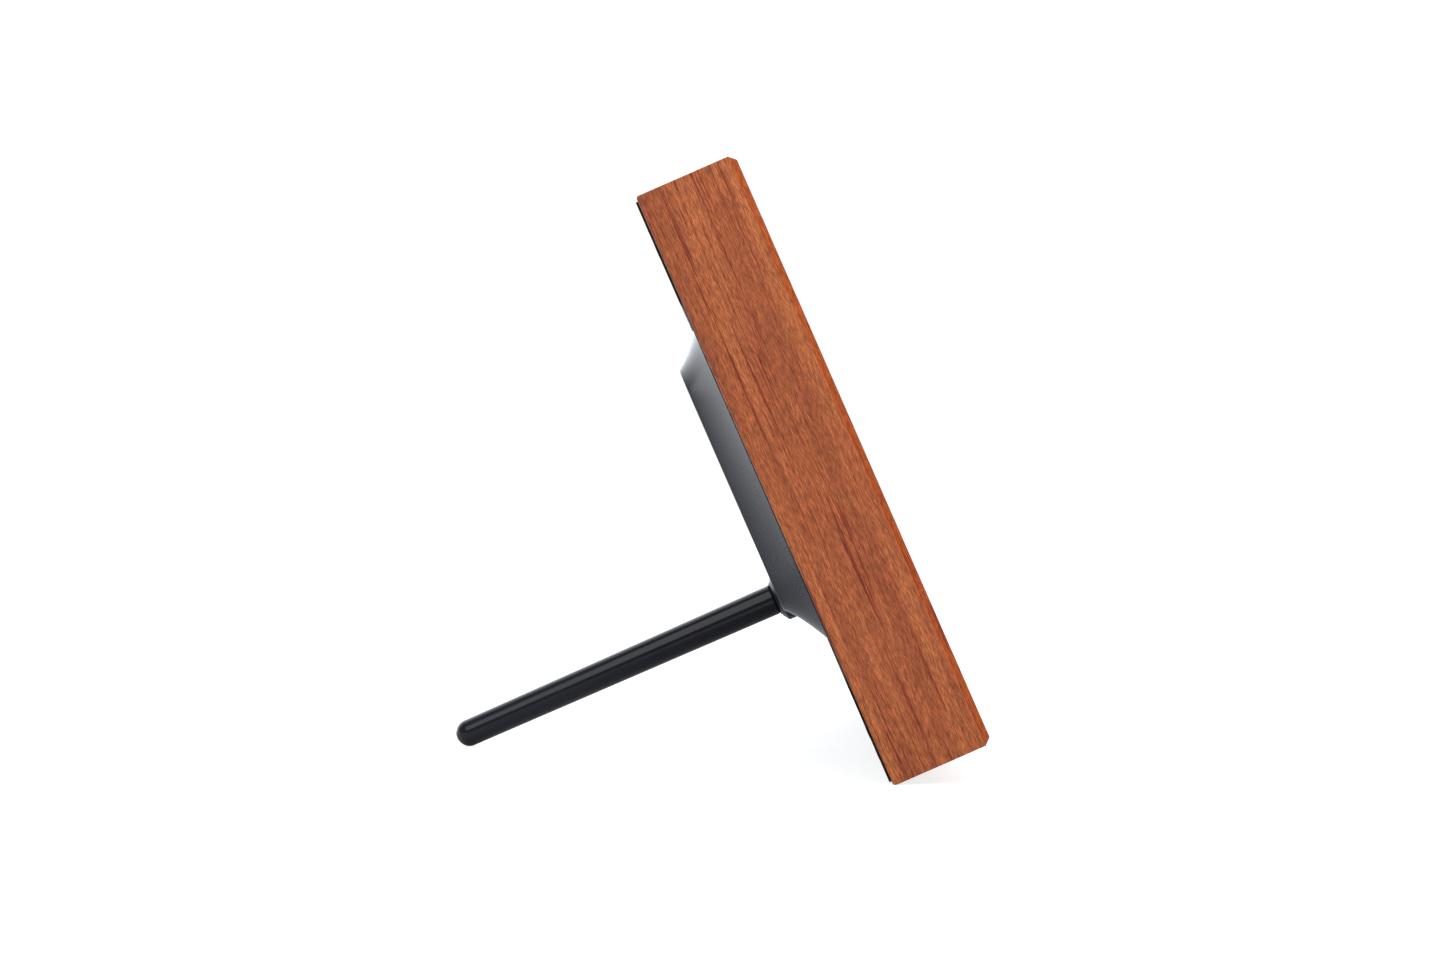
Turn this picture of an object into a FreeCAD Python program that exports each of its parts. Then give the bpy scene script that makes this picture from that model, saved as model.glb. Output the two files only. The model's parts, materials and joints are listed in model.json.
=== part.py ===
"""Wooden digital photo frame on a screw-in leg.

The frame is drawn flat in its own axes and then leaned back to stand.
Flat axes: X across the picture, Y from the front (negative) to the back, Z up the picture.
Y = 0 is the back plane of the wooden rails and Z = 0 is the outer face of the bottom rail.
The Lean placement turns every piece to rest on the bottom back edge and the leg's tip.
"""
import FreeCAD, Part
import math
import os
import re
import Sketcher

os.makedirs("parts", exist_ok=True)
doc = FreeCAD.newDocument("PhotoFrame")
Vector = FreeCAD.Vector

# Driving dimensions, in millimetres and degrees.
SIZES = {
    "over": 1,  # how far a cutting shape runs past what it cuts
    "wide": 272,  # the outer width
    "high": 190,  # the outer height along the leaning frame
    "deep": 31.9,  # the depth of the wooden rails
    "lean_angle": 23.65,  # how far the frame leans back from upright
    # wooden rails
    "rail_wall": 14,  # wood outside the pocket that holds glass and screen
    "sight_lip": 4,  # how far the front lip laps over the glass
    "lip_thick": 5,
    "ledge_wide": 7,  # the step that the chassis plate is screwed to
    "edge_run": 2.2,  # the front chamfer, along the depth
    "edge_in": 1.8,  # the front chamfer, across the front face
    "edge_round": 0.9,
    "back_lip": 1.2,  # wood left around the back panel
    "nail_leg": 4,
    "nail_thick": 0.6,
    "nail_deep": 9,
    # what stacks up behind the lip
    "fit": 0.5,  # the gap around what drops into the pocket
    "glass_thick": 2,
    "mat_thick": 1.4,
    "screen_wide": 217,
    "screen_high": 135.6,
    "mat_corner": 0.5,
    "mat_edge": 0.3,  # the square part of the mat's cut edge
    "mat_cover": 1,  # how far the mat laps over the picture
    "lcd_wide": 229,
    "lcd_high": 149,
    "lcd_thick": 5,
    "lcd_gap": 0.3,
    "sheet_metal": 0.4,
    "bezel_show": 1.6,  # how much wider the bezel's window is than the picture
    "cell_margin": 6,  # how much wider the screen's layers are than the picture
    "film_margin": 5,
    "guide_margin": 3,
    "cell_thick": 1.5,
    "film_thick": 0.5,
    "guide_thick": 1.8,
    "guide_lift": 2,  # room for the lamps below the light guide
    "led_tall": 2.6,
    "reflector_thick": 0.3,
    "tray_thick": 0.5,
    "tray_gap": 0.1,
    "driver_wide": 128,
    "driver_tall": 14,
    "driver_thick": 1,
    "driver_chip_wide": 12,
    "driver_chip_edge": 4,
    "driver_chip_tall": 7,
    "driver_chip_pitch": 40,
    "foam_thick": 1.3,
    "foam_wide": 8,
    "foam_short": 40,  # how much shorter the upright strips are than the screen
    "foam_level_short": 30,
    "chassis_thick": 1,
    "chassis_corner": 3,
    "chassis_opening": 3,  # the margin of its opening around the driver board
    # the back
    "panel_seat": 2.2,  # how deep the back panel sits in the wood
    "panel_proud": 0.3,
    "band_rise": 0.4,  # the raised bands above and below
    "band_low": 34.4,
    "band_top": 35.6,
    "band_ramp": 2,
    "panel_gap": 0.2,
    "housing_half": 85,  # half the width of the rear housing at its foot
    "housing_low": 43.3,
    "housing_top": 151,
    "housing_rise": 9.6,
    "housing_wall": 2,
    "side_run": 13,  # how far each cove reaches in
    "low_run": 14.3,
    "top_run": 9.7,
    "cove_sag": 0.35,
    "foot_corner": 24,
    "corner_drop": 12,
    "inner_trim": 0.3,  # how much of the wall the hollow keeps clear at its foot
    "board_post": 2.6,
    "housing_post": 2.9,
    "post_side": 10,  # how far the housing's posts stand from its flat's edges
    "post_low": 4.7,
    "post_top": 4.6,
    "vent_first": -56,
    "vent_pitch": 4.5,
    "vent_wide": 1.8,
    "vent_tall": 26,
    # main board and ports
    "board_thick": 1.6,
    "board_face": 0.4,  # the side that carries the ports
    "board_left": -44,
    "board_low": 69.5,
    "board_top": 130.5,
    "board_corner": 1.5,
    "board_hole": 4,  # from the board's edges to its screws
    "board_hole_pitch": 80,
    "board_room": 1.5,
    "bay_floor": 70,  # the wall that the ports open through
    "port_set": 0.5,  # how far the ports stay behind that wall's face
    "port_gap": 0.25,
    "bay_room": 0.8,
    "jack_at": 75.5,
    "jack_axis": 2.8,  # above the board
    "jack_bore": 1.95,
    "jack_nose": 2.9,
    "jack_wide": 7,
    "jack_long": 12,
    "jack_deep": 9,
    "jack_pin": 0.65,
    "usb_at": 89,
    "usb_wide": 14.5,
    "usb_tall": 6.8,
    "usb_wall": 0.6,
    "usb_long": 14,
    "usb_deep": 12.5,
    "tongue_thick": 1.8,
    "tongue_set": 1.5,
    "tongue_gap": 0.4,
    "card_at": 114,
    "card_wide": 29,
    "card_tall": 3.4,
    "card_slot": 24.4,
    "card_wall": 0.5,
    "card_long": 27,
    # buttons
    "button_radius": 3.6,
    "button_gap": 0.1,
    "button_travel": 0.4,
    "button_proud": 0.4,
    "button_row": 120,
    "button_first": -22,
    "button_pitch": 14,
    "button_lip": 1,  # how much wider its flange is
    "button_lip_thick": 0.8,
    "button_stem": 1.4,
    "button_free": 0.05,
    "switch_wide": 6,
    "switch_tall": 2.6,
    "switch_stem": 1.6,
    "switch_reach": 3.6,
    # the leg and its socket
    "leg_height": 59.8,  # up the frame from its bottom edge
    "leg_root_radius": 5.25,
    "leg_tip_radius": 4.6,
    "collar_radius": 8.5,
    "collar_rise": 1.5,
    "thread_radius": 3,
    "thread_gap": 0.05,
    "thread_reach": 10,
    "insert_radius": 4.6,
    "insert_long": 8.5,
    "washer_radius": 5.8,
    "washer_thick": 1,
    "washer_proud": 0.4,
    "washer_hole": 0.3,  # the washer's play around the stud
    "washer_play": 0.02,  # the least gap between the washer and the leg
    "stud_room": 0.4,
    "stud_deep": 14,
    "leg_round": 0.6,
    "socket_wide": 34,
    "socket_thick": 2.2,
    "socket_low": 4.5,
    "socket_high": 6,
    "socket_screw_at": 13,
    "socket_screw_up": 0.7,
    # speakers
    "speaker_at": 98,
    "speaker_radius": 15,
    "speaker_deep": 5.5,
    "speaker_wall": 1.2,
    "speaker_floor": 1,
    "speaker_ear": 12,
    "speaker_ear_reach": 9,
    "speaker_screw_out": 2.3,
    "surround_thick": 0.5,
    "surround_wide": 1.8,
    "coil_radius": 4,
    "cone_wall": 1,
    "magnet_radius": 8,
    "magnet_thick": 4,
    "grille_hole": 0.9,
    "grille_ring": 4.5,
    "lead_radius": 0.7,
    "lead_drop": 1.2,
    "plug_long": 6,
    "plug_tall": 5,
    "plug_thick": 2.4,
    # fastenings
    "wood_screw": 1.3,
    "wood_head": 2.5,
    "wood_long": 9,
    "small_screw": 1,
    "small_head": 1.9,
    "small_head_tall": 1.2,
    "screw_gap": 0.2,
    "chassis_bite": 7,  # how far each kind of small screw goes in
    "board_bite": 4,
    "housing_bite": 5,
    "socket_bite": 2,
    "speaker_bite": 3,
    "hanger_bite": 2,
    # wall hangers
    "hanger_at": 80,
    "hanger_height": 162,
    "hanger_thick": 1.2,
    "hanger_bore": 4.2,
    "hanger_slot": 2.2,
    "hanger_run": 9,  # the slot's length above the hole
    "hanger_rise": 3,  # the plate's middle above the hole
    "hanger_wide": 28,
    "hanger_tall": 26,
    "hanger_corner": 3,
    "hanger_screw_at": 10,
    "window_wide": 12,
    "window_low": 6,
    "window_high": 13,
}

# Places worked out from those dimensions.
PLACES = {
    "half": "wide / 2",
    "middle": "high / 2",
    "front": "-deep",
    "lip_back": "front + lip_thick",
    "glass_back": "lip_back + glass_thick",
    "lcd_front": "glass_back + mat_thick",
    "lcd_back": "lcd_front + lcd_thick",
    "ledge": "lcd_back + foam_thick",
    "chassis_back": "ledge + chassis_thick",
    "back_wall": "rail_wall - ledge_wide",
    "screw_line": "(back_lip + back_wall) / 2",
    "ledge_line": "back_wall + ledge_wide / 2",
    "panel_front": "-panel_seat",
    "panel_edge": "back_lip + panel_gap",
    "panel_face": "panel_proud",
    "band_face": "panel_face + band_rise",
    "foot_to_crest": "housing_rise - panel_face",
    "roof": "housing_rise - housing_wall",
    "board_front": "board_face - board_thick",
    "bay_inner": "bay_floor - housing_wall",
    "board_right": "bay_inner - screw_gap - fit",
    "port_face": "bay_floor - port_set",
    "bay_low": "board_low - bay_room",
    "bay_top": "board_top + bay_room",
    "collar_face": "housing_rise + collar_rise",
    "leg_root": "collar_face + washer_proud",
    "floor_drop": "edge_round * (sin(lean_angle) + cos(lean_angle) - 1)",
    "leg_tip": "(leg_height * cos(lean_angle) - leg_tip_radius - floor_drop) / sin(lean_angle)",
    "hind_edge": "leg_tip * cos(lean_angle) + leg_height * sin(lean_angle) + leg_tip_radius",
    "fore_edge": "front * cos(lean_angle) + edge_in * sin(lean_angle)",
}

sheet = doc.addObject("Spreadsheet::Sheet", "Sizes")
for row, (alias, number) in enumerate(SIZES.items(), 1):
    sheet.set(f"A{row}", alias)
    sheet.set(f"B{row}", str(number))
    sheet.setAlias(f"B{row}", alias)
doc.recompute()


def bound(text):
    """The expression with each size pointed at its cell and each place written out."""
    def spell(match):
        word = match.group(0)
        if word in PLACES:
            return f"({bound(PLACES[word])})"
        return f"Sizes.{word}" if word in SIZES else word
    return re.sub(r"[a-z_]+", spell, text)


def tie(thing, prop, text):
    thing.setExpression(prop, bound(text))


# ---------------------------------------------------------------- placements

lean = doc.addObject("App::Placement", "Lean")
lean.Placement = FreeCAD.Placement(Vector(), FreeCAD.Rotation(Vector(-1, 0, 0), 1))
tie(lean, "Placement.Rotation.Angle", "lean_angle")
tie(lean, "Placement.Base.y", "-(hind_edge + fore_edge) / 2")
tie(lean, "Placement.Base.z", "-floor_drop")

UNTURNED = "rotation(vector(0; 0; 1); 0)"
ALONG_Y = "rotation(vector(1; 0; 0); -90)"
ALONG_X = "rotation(vector(0; 1; 0); 90)"
spots = {}
nodes = []


def spot(thing, x, y, z, turn=UNTURNED):
    """Puts a thing in the flat frame and remembers where."""
    spots[thing.Name] = f"placement(vector({x}; {y}; {z}); {turn})"
    tie(thing, "Placement", spots[thing.Name])
    return thing


def node(thing):
    """Leans a finished sub-part back with the rest and lists it for export."""
    here = spots.get(thing.Name)
    tie(thing, "Placement", f"Lean.Placement * {here}" if here else "Lean.Placement")
    nodes.append(thing)
    return thing


# ---------------------------------------------------------------- solids

def block(name, x, y, z):
    """A box between pairs of low and high places."""
    piece = doc.addObject("Part::Box", name)
    for side, (low, high) in zip(("Length", "Width", "Height"), (x, y, z)):
        tie(piece, side, f"({high}) - ({low})")
    return spot(piece, x[0], y[0], z[0])


def rod(name, radius, y, x="0", z="0"):
    """A cylinder from front to back."""
    piece = doc.addObject("Part::Cylinder", name)
    tie(piece, "Radius", radius)
    tie(piece, "Height", f"({y[1]}) - ({y[0]})")
    return spot(piece, x, y[0], z, ALONG_Y)


def bar(name, radius, x, y, z):
    """A cylinder across the picture."""
    piece = doc.addObject("Part::Cylinder", name)
    tie(piece, "Radius", radius)
    tie(piece, "Height", f"({x[1]}) - ({x[0]})")
    return spot(piece, x[0], y, z, ALONG_X)


def cone(name, front_radius, back_radius, y, x, z):
    piece = doc.addObject("Part::Cone", name)
    tie(piece, "Radius1", front_radius)
    tie(piece, "Radius2", back_radius)
    tie(piece, "Height", f"({y[1]}) - ({y[0]})")
    return spot(piece, x, y[0], z, ALONG_Y)


def group(name, *pieces):
    together = doc.addObject("Part::Compound", name)
    together.Links = list(pieces)
    return together


def fuse(name, *pieces):
    whole = doc.addObject("Part::MultiFuse", name)
    whole.Shapes = list(pieces)
    return whole


def cut(name, base, *tools):
    rest = doc.addObject("Part::Cut", name)
    rest.Base = base
    rest.Tool = tools[0] if len(tools) == 1 else group(f"{name}_tools", *tools)
    return rest


def fastenings(name, *flat):
    """Lists fastenings as a sub-part and gives them back unleaned, to cut their holes with."""
    flat_set = group(f"{name}_flat", *flat)
    node(group(name, flat_set))
    return flat_set


def mirror(name, source, normal, base="0"):
    """The mirror image across a plane through the middle of the frame."""
    image = doc.addObject("Part::Mirroring", name)
    image.Source = source
    image.Normal = normal
    tie(image, "Base.z", base)
    return image


def both_sides(name, source):
    return group(name, source, mirror(f"{name}_mirrored", source, Vector(1, 0, 0)))


def all_corners(name, source):
    side_pair = both_sides(f"{name}_pair", source)
    return group(name, side_pair, mirror(f"{name}_above", side_pair, Vector(0, 0, 1), "middle"))


# ---------------------------------------------------------------- sketched bodies

def new_sketch(body, name, role, level="0", x="0", y="0"):
    sketch = body.newObject("Sketcher::SketchObject", name)
    plane = next(f for f in body.Origin.OriginFeatures if f.Role == role)
    sketch.AttachmentSupport = [(plane, "")]
    sketch.MapMode = "FlatFace"
    for axis, text in zip("xyz", (x, y, level)):
        tie(sketch, f"AttachmentOffset.Base.{axis}", text)
    return sketch


def limit(sketch, kind, text, *where):
    """One driving dimension of a sketch."""
    index = sketch.addConstraint(Sketcher.Constraint(kind, *where))
    tie(sketch, f"Constraints[{index}]", text)


def polygon(body, name, role, points, level="0"):
    """A closed outline through points whose coordinates are bound to the sizes."""
    sketch = new_sketch(body, name, role, level)
    start = [Vector(*(value(text) for text in point)) for point in points]
    for index, corner in enumerate(start):
        sketch.addGeometry(Part.LineSegment(corner, start[(index + 1) % len(start)]))
    for index in range(len(start)):
        sketch.addConstraint(
            Sketcher.Constraint("Coincident", index, 2, (index + 1) % len(start), 1))
    for index, (across, up) in enumerate(points):
        limit(sketch, "DistanceX", across, index, 1, start[index].x)
        limit(sketch, "DistanceY", up, index, 1, start[index].y)
    return sketch


def value(text):
    """The present number of an expression."""
    return float(sheet.evalExpression(bound(text)))


def rounded_rectangle(body, name, x, z, corner, y):
    """A rounded rectangle across the picture, at a depth."""
    sketch = new_sketch(body, name, "XZ_Plane", f"-({y})",
                        f"({x[0]} + {x[1]}) / 2", f"({z[0]} + {z[1]}) / 2")
    half_x = value(f"({x[1]} - ({x[0]})) / 2")
    half_z = value(f"({z[1]} - ({z[0]})) / 2")
    bend = value(corner)
    turns = ((1, -1, 270), (1, 1, 0), (-1, 1, 90), (-1, -1, 180))
    centres = [Vector(a * (half_x - bend), b * (half_z - bend), 0) for a, b, _ in turns]
    for index, (_, _, angle) in enumerate(turns):
        circle = Part.Circle(centres[index], Vector(0, 0, 1), bend)
        first, last = math.radians(angle), math.radians(angle + 90)
        before = centres[index - 1] + Vector(
            bend * math.cos(first), bend * math.sin(first), 0)
        arc = Part.ArcOfCircle(circle, first, last)
        sketch.addGeometry(Part.LineSegment(before, arc.value(first)))
        sketch.addGeometry(arc)
    for index in range(4):
        line, arc, after = 2 * index, 2 * index + 1, (2 * index + 2) % 8
        sketch.addConstraint(Sketcher.Constraint("Tangent", line, 2, arc, 1))
        sketch.addConstraint(Sketcher.Constraint("Tangent", arc, 2, after, 1))
        direction = "Vertical" if index % 2 else "Horizontal"
        sketch.addConstraint(Sketcher.Constraint(direction, line))
        if index:
            sketch.addConstraint(Sketcher.Constraint("Equal", 1, arc))
    limit(sketch, "Radius", corner, 1, bend)
    limit(sketch, "DistanceX", f"{x[1]} - ({x[0]})", 6, 1, 2, 1, 2 * half_x)
    limit(sketch, "DistanceY", f"{z[1]} - ({z[0]})", 0, 1, 4, 1, 2 * half_z)
    sketch.addConstraint(Sketcher.Constraint("Symmetric", 0, 1, 4, 1, -1, 1))
    return sketch


def new_body(name):
    return doc.addObject("PartDesign::Body", name)


def pad(body, name, profile, length):
    feature = body.newObject("PartDesign::Pad", name)
    feature.Profile = profile
    tie(feature, "Length", length)
    doc.recompute()
    return feature


def pocket(body, name, profile, length):
    """Cuts from the sketch towards the back, and makes sure that something went."""
    before = body.Shape.Volume
    feature = body.newObject("PartDesign::Pocket", name)
    feature.Profile = profile
    tie(feature, "Length", length)
    doc.recompute()
    if body.Shape.Volume > before - 1e-3:
        raise RuntimeError(f"{name} cuts nothing")
    return feature


def soften(body, kind, name, base, size, wanted):
    """A fillet or chamfer on the edges that the test picks out."""
    edges = [f"Edge{n}" for n, edge in enumerate(base.Shape.Edges, 1) if wanted(edge)]
    feature = body.newObject(f"PartDesign::{kind}", name)
    feature.Base = (base, edges)
    tie(feature, "Radius" if kind == "Fillet" else "Size", size)
    doc.recompute()
    return feature


def plate(name, x, z, y, corner):
    """A flat piece with rounded corners, from y[0] at the front to y[1]."""
    body = new_body(name)
    outline = rounded_rectangle(body, f"{name}_outline", x, z, corner, y[1])
    pad(body, f"{name}_pad", outline, f"{y[1]} - ({y[0]})")
    return body


def lies_at(edge, **places):
    """Whether both ends of an edge have the given coordinates."""
    ends = [vertex.Point for vertex in edge.Vertexes]
    return all(abs(getattr(end, axis) - place) < 1e-4
               for end in ends for axis, place in places.items())


def around(centre, width):
    """The span of a width about a centre."""
    return (f"{centre} - ({width}) / 2", f"{centre} + ({width}) / 2")


def mid_span(width):
    return around("0", width)


def high_span(height):
    return around("middle", height)


# ---------------------------------------------------------------- fastenings

def wood_screw(name, x, z):
    """A countersunk screw through a raised band of the back panel into the wood."""
    shank = rod(f"{name}_shank", "wood_screw", ("band_face - wood_long", "band_face"), x, z)
    head = cone(f"{name}_head", "wood_screw", "wood_head",
                ("band_face - (wood_head - wood_screw)", "band_face"), x, z)
    return fuse(name, shank, head)


def small_screw(name, x, z, seat, length, head_side=-1):
    """A pan-head screw whose head sits at the seat and whose shank runs away from it."""
    shank_end = f"{seat} - ({head_side}) * {length}"
    head_end = f"{seat} + ({head_side}) * small_head_tall"
    spans = [(seat, shank_end), (head_end, seat)]
    if head_side > 0:
        spans = [(shank_end, seat), (seat, head_end)]
    shank = rod(f"{name}_shank", "small_screw", spans[0], x, z)
    head = rod(f"{name}_head", "small_head", spans[1], x, z)
    return fuse(name, shank, head)


panel_screw_low = group(
    "panel_screws_low",
    wood_screw("panel_screw_side", "half - screw_line", "band_low / 2"),
    wood_screw("panel_screw_end", "half / 2", "screw_line"))
back_panel_screws = fastenings("back_panel_screws",
                               all_corners("panel_screws", panel_screw_low))

chassis_screw_list = [
    small_screw(f"chassis_screw_{index}", "half - ledge_line", f"middle + {index} * high / 4",
                "chassis_back", "chassis_bite", head_side=1)
    for index in (-1, 0, 1)]
chassis_screws = fastenings(
    "chassis_screws",
    both_sides("chassis_screws_both", group("chassis_screws_right", *chassis_screw_list)))

nail_spot = "back_lip + nail_thick * 2"
nail_depth = ("panel_front - nail_deep", "panel_front")
corner_nail = fuse(
    "corner_nail",
    block("nail_along", (f"{nail_spot} - half", f"{nail_spot} + nail_leg - half"),
          nail_depth, (nail_spot, f"{nail_spot} + nail_thick")),
    block("nail_upright", (f"{nail_spot} - half", f"{nail_spot} + nail_thick - half"),
          nail_depth, (nail_spot, f"{nail_spot} + nail_leg")))
corner_nails = fastenings("corner_nails", all_corners("nails", corner_nail))


# ---------------------------------------------------------------- wooden rails

def rail(name, length, turn, x, z):
    """One mitred rail. Its own Z runs from the outer face towards the picture."""
    body = new_body(f"{name}_stock")
    profile = polygon(body, f"{name}_profile", "YZ_Plane", [
        ("0", "0"), ("edge_run - deep", "0"), ("front", "edge_in"),
        ("front", "rail_wall + sight_lip"), ("lip_back", "rail_wall + sight_lip"),
        ("lip_back", "rail_wall"), ("ledge", "rail_wall"), ("ledge", "back_wall"),
        ("panel_front", "back_wall"), ("panel_front", "back_lip"), ("0", "back_lip")],
        f"-({length}) / 2")
    stock = pad(body, f"{name}_pad", profile, length)
    rounded = soften(body, "Fillet", f"{name}_rounds", stock, "edge_round", lambda edge: (
        lies_at(edge, y=0, z=0) or lies_at(edge, y=-value("deep"), z=value("edge_in"))))
    for side in (-1, 1):
        end = f"{side} * ({length}) / 2"
        reach = "(rail_wall + sight_lip + over)"
        mitre = polygon(body, f"{name}_mitre_{side + 1}", "XZ_Plane", [
            (end, "0"), (end, reach), (f"{end} - {side} * {reach}", reach)], "deep + over")
        rounded = pocket(body, f"{name}_mitred_{side + 1}", mitre, "deep + 2 * over")
    spot(body, x, "0", z, f"rotation(vector(0; 1; 0); {turn})")
    return node(cut(name, body, corner_nails, back_panel_screws, chassis_screws))


rail("frame_rail_bottom", "wide", 0, "0", "0")
rail("frame_rail_top", "wide", 180, "0", "high")
rail("frame_rail_left", "high", 90, "-half", "middle")
rail("frame_rail_right", "high", -90, "half", "middle")

# ---------------------------------------------------------------- glass, mat and screen

pocket_x = mid_span("wide - 2 * rail_wall - 2 * fit")
pocket_z = high_span("high - 2 * rail_wall - 2 * fit")

node(plate("front_glass", pocket_x, pocket_z, ("lip_back", "glass_back"), "2 * mat_corner"))

mat = plate("mat_board", pocket_x, pocket_z, ("glass_back", "lcd_front"), "2 * mat_corner")
window = rounded_rectangle(mat, "mat_window", mid_span("screen_wide - 2 * mat_cover"),
                           high_span("screen_high - 2 * mat_cover"), "mat_corner", "glass_back - over")
cut_mat = pocket(mat, "mat_opening", window, "mat_thick + 2 * over")
soften(mat, "Chamfer", "mat_bevel", cut_mat, "mat_thick - mat_edge", lambda edge: (
    lies_at(edge, y=value("glass_back"))
    and all(abs(v.Point.x) < value("screen_wide / 2") for v in edge.Vertexes)))
node(mat)


def layer(name, width, height, front, thick, x="0", z="middle"):
    """One flat sheet of the screen, at a distance behind the screen's front."""
    return block(name, around(x, width), (f"lcd_front + {front}", f"lcd_front + {front} + {thick}"),
                 around(z, height))


node(cut("lcd_bezel",
         layer("bezel_shell", "lcd_wide", "lcd_high", "0", "lcd_thick - tray_thick"),
         layer("bezel_hollow", "lcd_wide - 2 * sheet_metal", "lcd_high - 2 * sheet_metal",
               "sheet_metal", "lcd_thick"),
         layer("bezel_window", "screen_wide + bezel_show", "screen_high + bezel_show", "-over",
               "sheet_metal + 2 * over")))
guide_front = "sheet_metal + cell_thick + film_thick"
node(layer("lcd_cell", "screen_wide + cell_margin", "screen_high + cell_margin", "sheet_metal",
           "cell_thick"))
node(layer("diffuser_sheets", "screen_wide + film_margin", "screen_high + film_margin",
           "sheet_metal + cell_thick", "film_thick"))
node(layer("light_guide", "screen_wide + guide_margin", "screen_high + 1", guide_front,
           "guide_thick", z="middle + guide_lift"))
node(layer("led_bar", "screen_wide + 1", "led_tall", guide_front, "guide_thick",
           z="middle - screen_high / 2 - 0.1"))
node(layer("reflector_sheet", "screen_wide + film_margin", "screen_high + film_margin",
           f"{guide_front} + guide_thick", "reflector_thick"))
tray_walls = cut(
    "tray_walls",
    layer("tray_block", "lcd_wide - 2 * (sheet_metal + tray_gap)",
          "lcd_high - 2 * (sheet_metal + tray_gap)",
          "sheet_metal", "lcd_thick - tray_thick - sheet_metal"),
    layer("tray_hollow", "screen_wide + cell_margin + 1", "screen_high + cell_margin + 1", "-over",
          "lcd_thick + 2 * over"))
node(fuse("lcd_tray", tray_walls, layer("tray_back", "lcd_wide", "lcd_high",
                                        "lcd_thick - tray_thick", "tray_thick")))
node(cut("lcd_carrier",
         block("carrier_block", pocket_x, ("lcd_front", "lcd_back"), pocket_z),
         layer("carrier_window", "lcd_wide + 2 * lcd_gap", "lcd_high + 2 * lcd_gap", "-over",
               "lcd_thick + 2 * over")))

driver_low = "middle - lcd_high / 2 + 7"
driver_z = (driver_low, f"{driver_low} + driver_tall")
driver_board = [block("driver_sheet", mid_span("driver_wide"),
                      ("lcd_back", "lcd_back + driver_thick"), driver_z)]
for index in (-1, 0, 1):
    driver_board.append(block(
        f"driver_chip_{index + 1}", around(f"{index} * driver_chip_pitch", "driver_chip_wide"),
        ("lcd_back + 0.9 * driver_thick", "lcd_back + 2 * driver_thick"),
        (f"{driver_low} + driver_chip_edge",
         f"{driver_low} + driver_chip_edge + driver_chip_tall")))
node(fuse("lcd_driver_board", *driver_board))

strip_y = ("lcd_back", "ledge")
upright_strip = block("foam_upright", ("lcd_wide / 2 - foam_wide", "lcd_wide / 2"), strip_y,
                      high_span("lcd_high - foam_short"))
level_strip = block("foam_level", mid_span("lcd_wide - foam_level_short"), strip_y,
                    ("middle + lcd_high / 2 - foam_wide", "middle + lcd_high / 2"))
node(group("lcd_foam_strips", both_sides("foam_uprights", upright_strip), level_strip))

chassis_stock = plate("chassis_stock", mid_span("wide - 2 * back_wall - 2 * fit"),
                      high_span("high - 2 * back_wall - 2 * fit"),
                      ("ledge", "chassis_back"), "chassis_corner")
node(cut("chassis_plate", chassis_stock, chassis_screws,
         block("driver_window", mid_span("driver_wide + 8"), ("ledge - over", "chassis_back + over"),
               (f"{driver_low} - chassis_opening",
                f"{driver_low} + driver_tall + chassis_opening"))))

# ---------------------------------------------------------------- wall hangers


def hanger(name, side):
    """A steel keyhole plate on the inside of the back panel, with its two screws."""
    x = f"{side} * hanger_at"
    depth = ("panel_front - hanger_thick", "panel_front")
    through = ("panel_front - hanger_thick - over", "panel_front + over")
    plate_height = "hanger_height + hanger_rise"
    slot_top = "hanger_height + hanger_run"
    screws = [small_screw(f"{name}_screw_{index + 1}", f"{x} + {index} * hanger_screw_at",
                          plate_height, "panel_front - hanger_thick",
                          "hanger_thick + hanger_bite")
              for index in (-1, 1)]
    stock = plate(f"{name}_stock", around(x, "hanger_wide"), around(plate_height, "hanger_tall"),
                  depth, "hanger_corner")
    slot = block(f"{name}_slot", around(x, "2 * hanger_slot"), through,
                 ("hanger_height", slot_top))
    slot_end = rod(f"{name}_slot_end", "hanger_slot", through, x, slot_top)
    head_hole = rod(f"{name}_head_hole", "hanger_bore", through, x, "hanger_height")
    keyhole = fuse(f"{name}_keyhole", slot, slot_end, head_hole)
    node(cut(name, stock, keyhole, *screws))
    opening = block(f"{name}_window", around(x, "window_wide"),
                    ("panel_front - over", "band_face + over"),
                    ("hanger_height - window_low", "hanger_height + window_high"))
    return screws, opening


left_screws, left_window = hanger("keyhole_plate_left", -1)
right_screws, right_window = hanger("keyhole_plate_right", 1)
keyhole_screws = fastenings("keyhole_screws", *left_screws, *right_screws)

# ---------------------------------------------------------------- speakers


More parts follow.
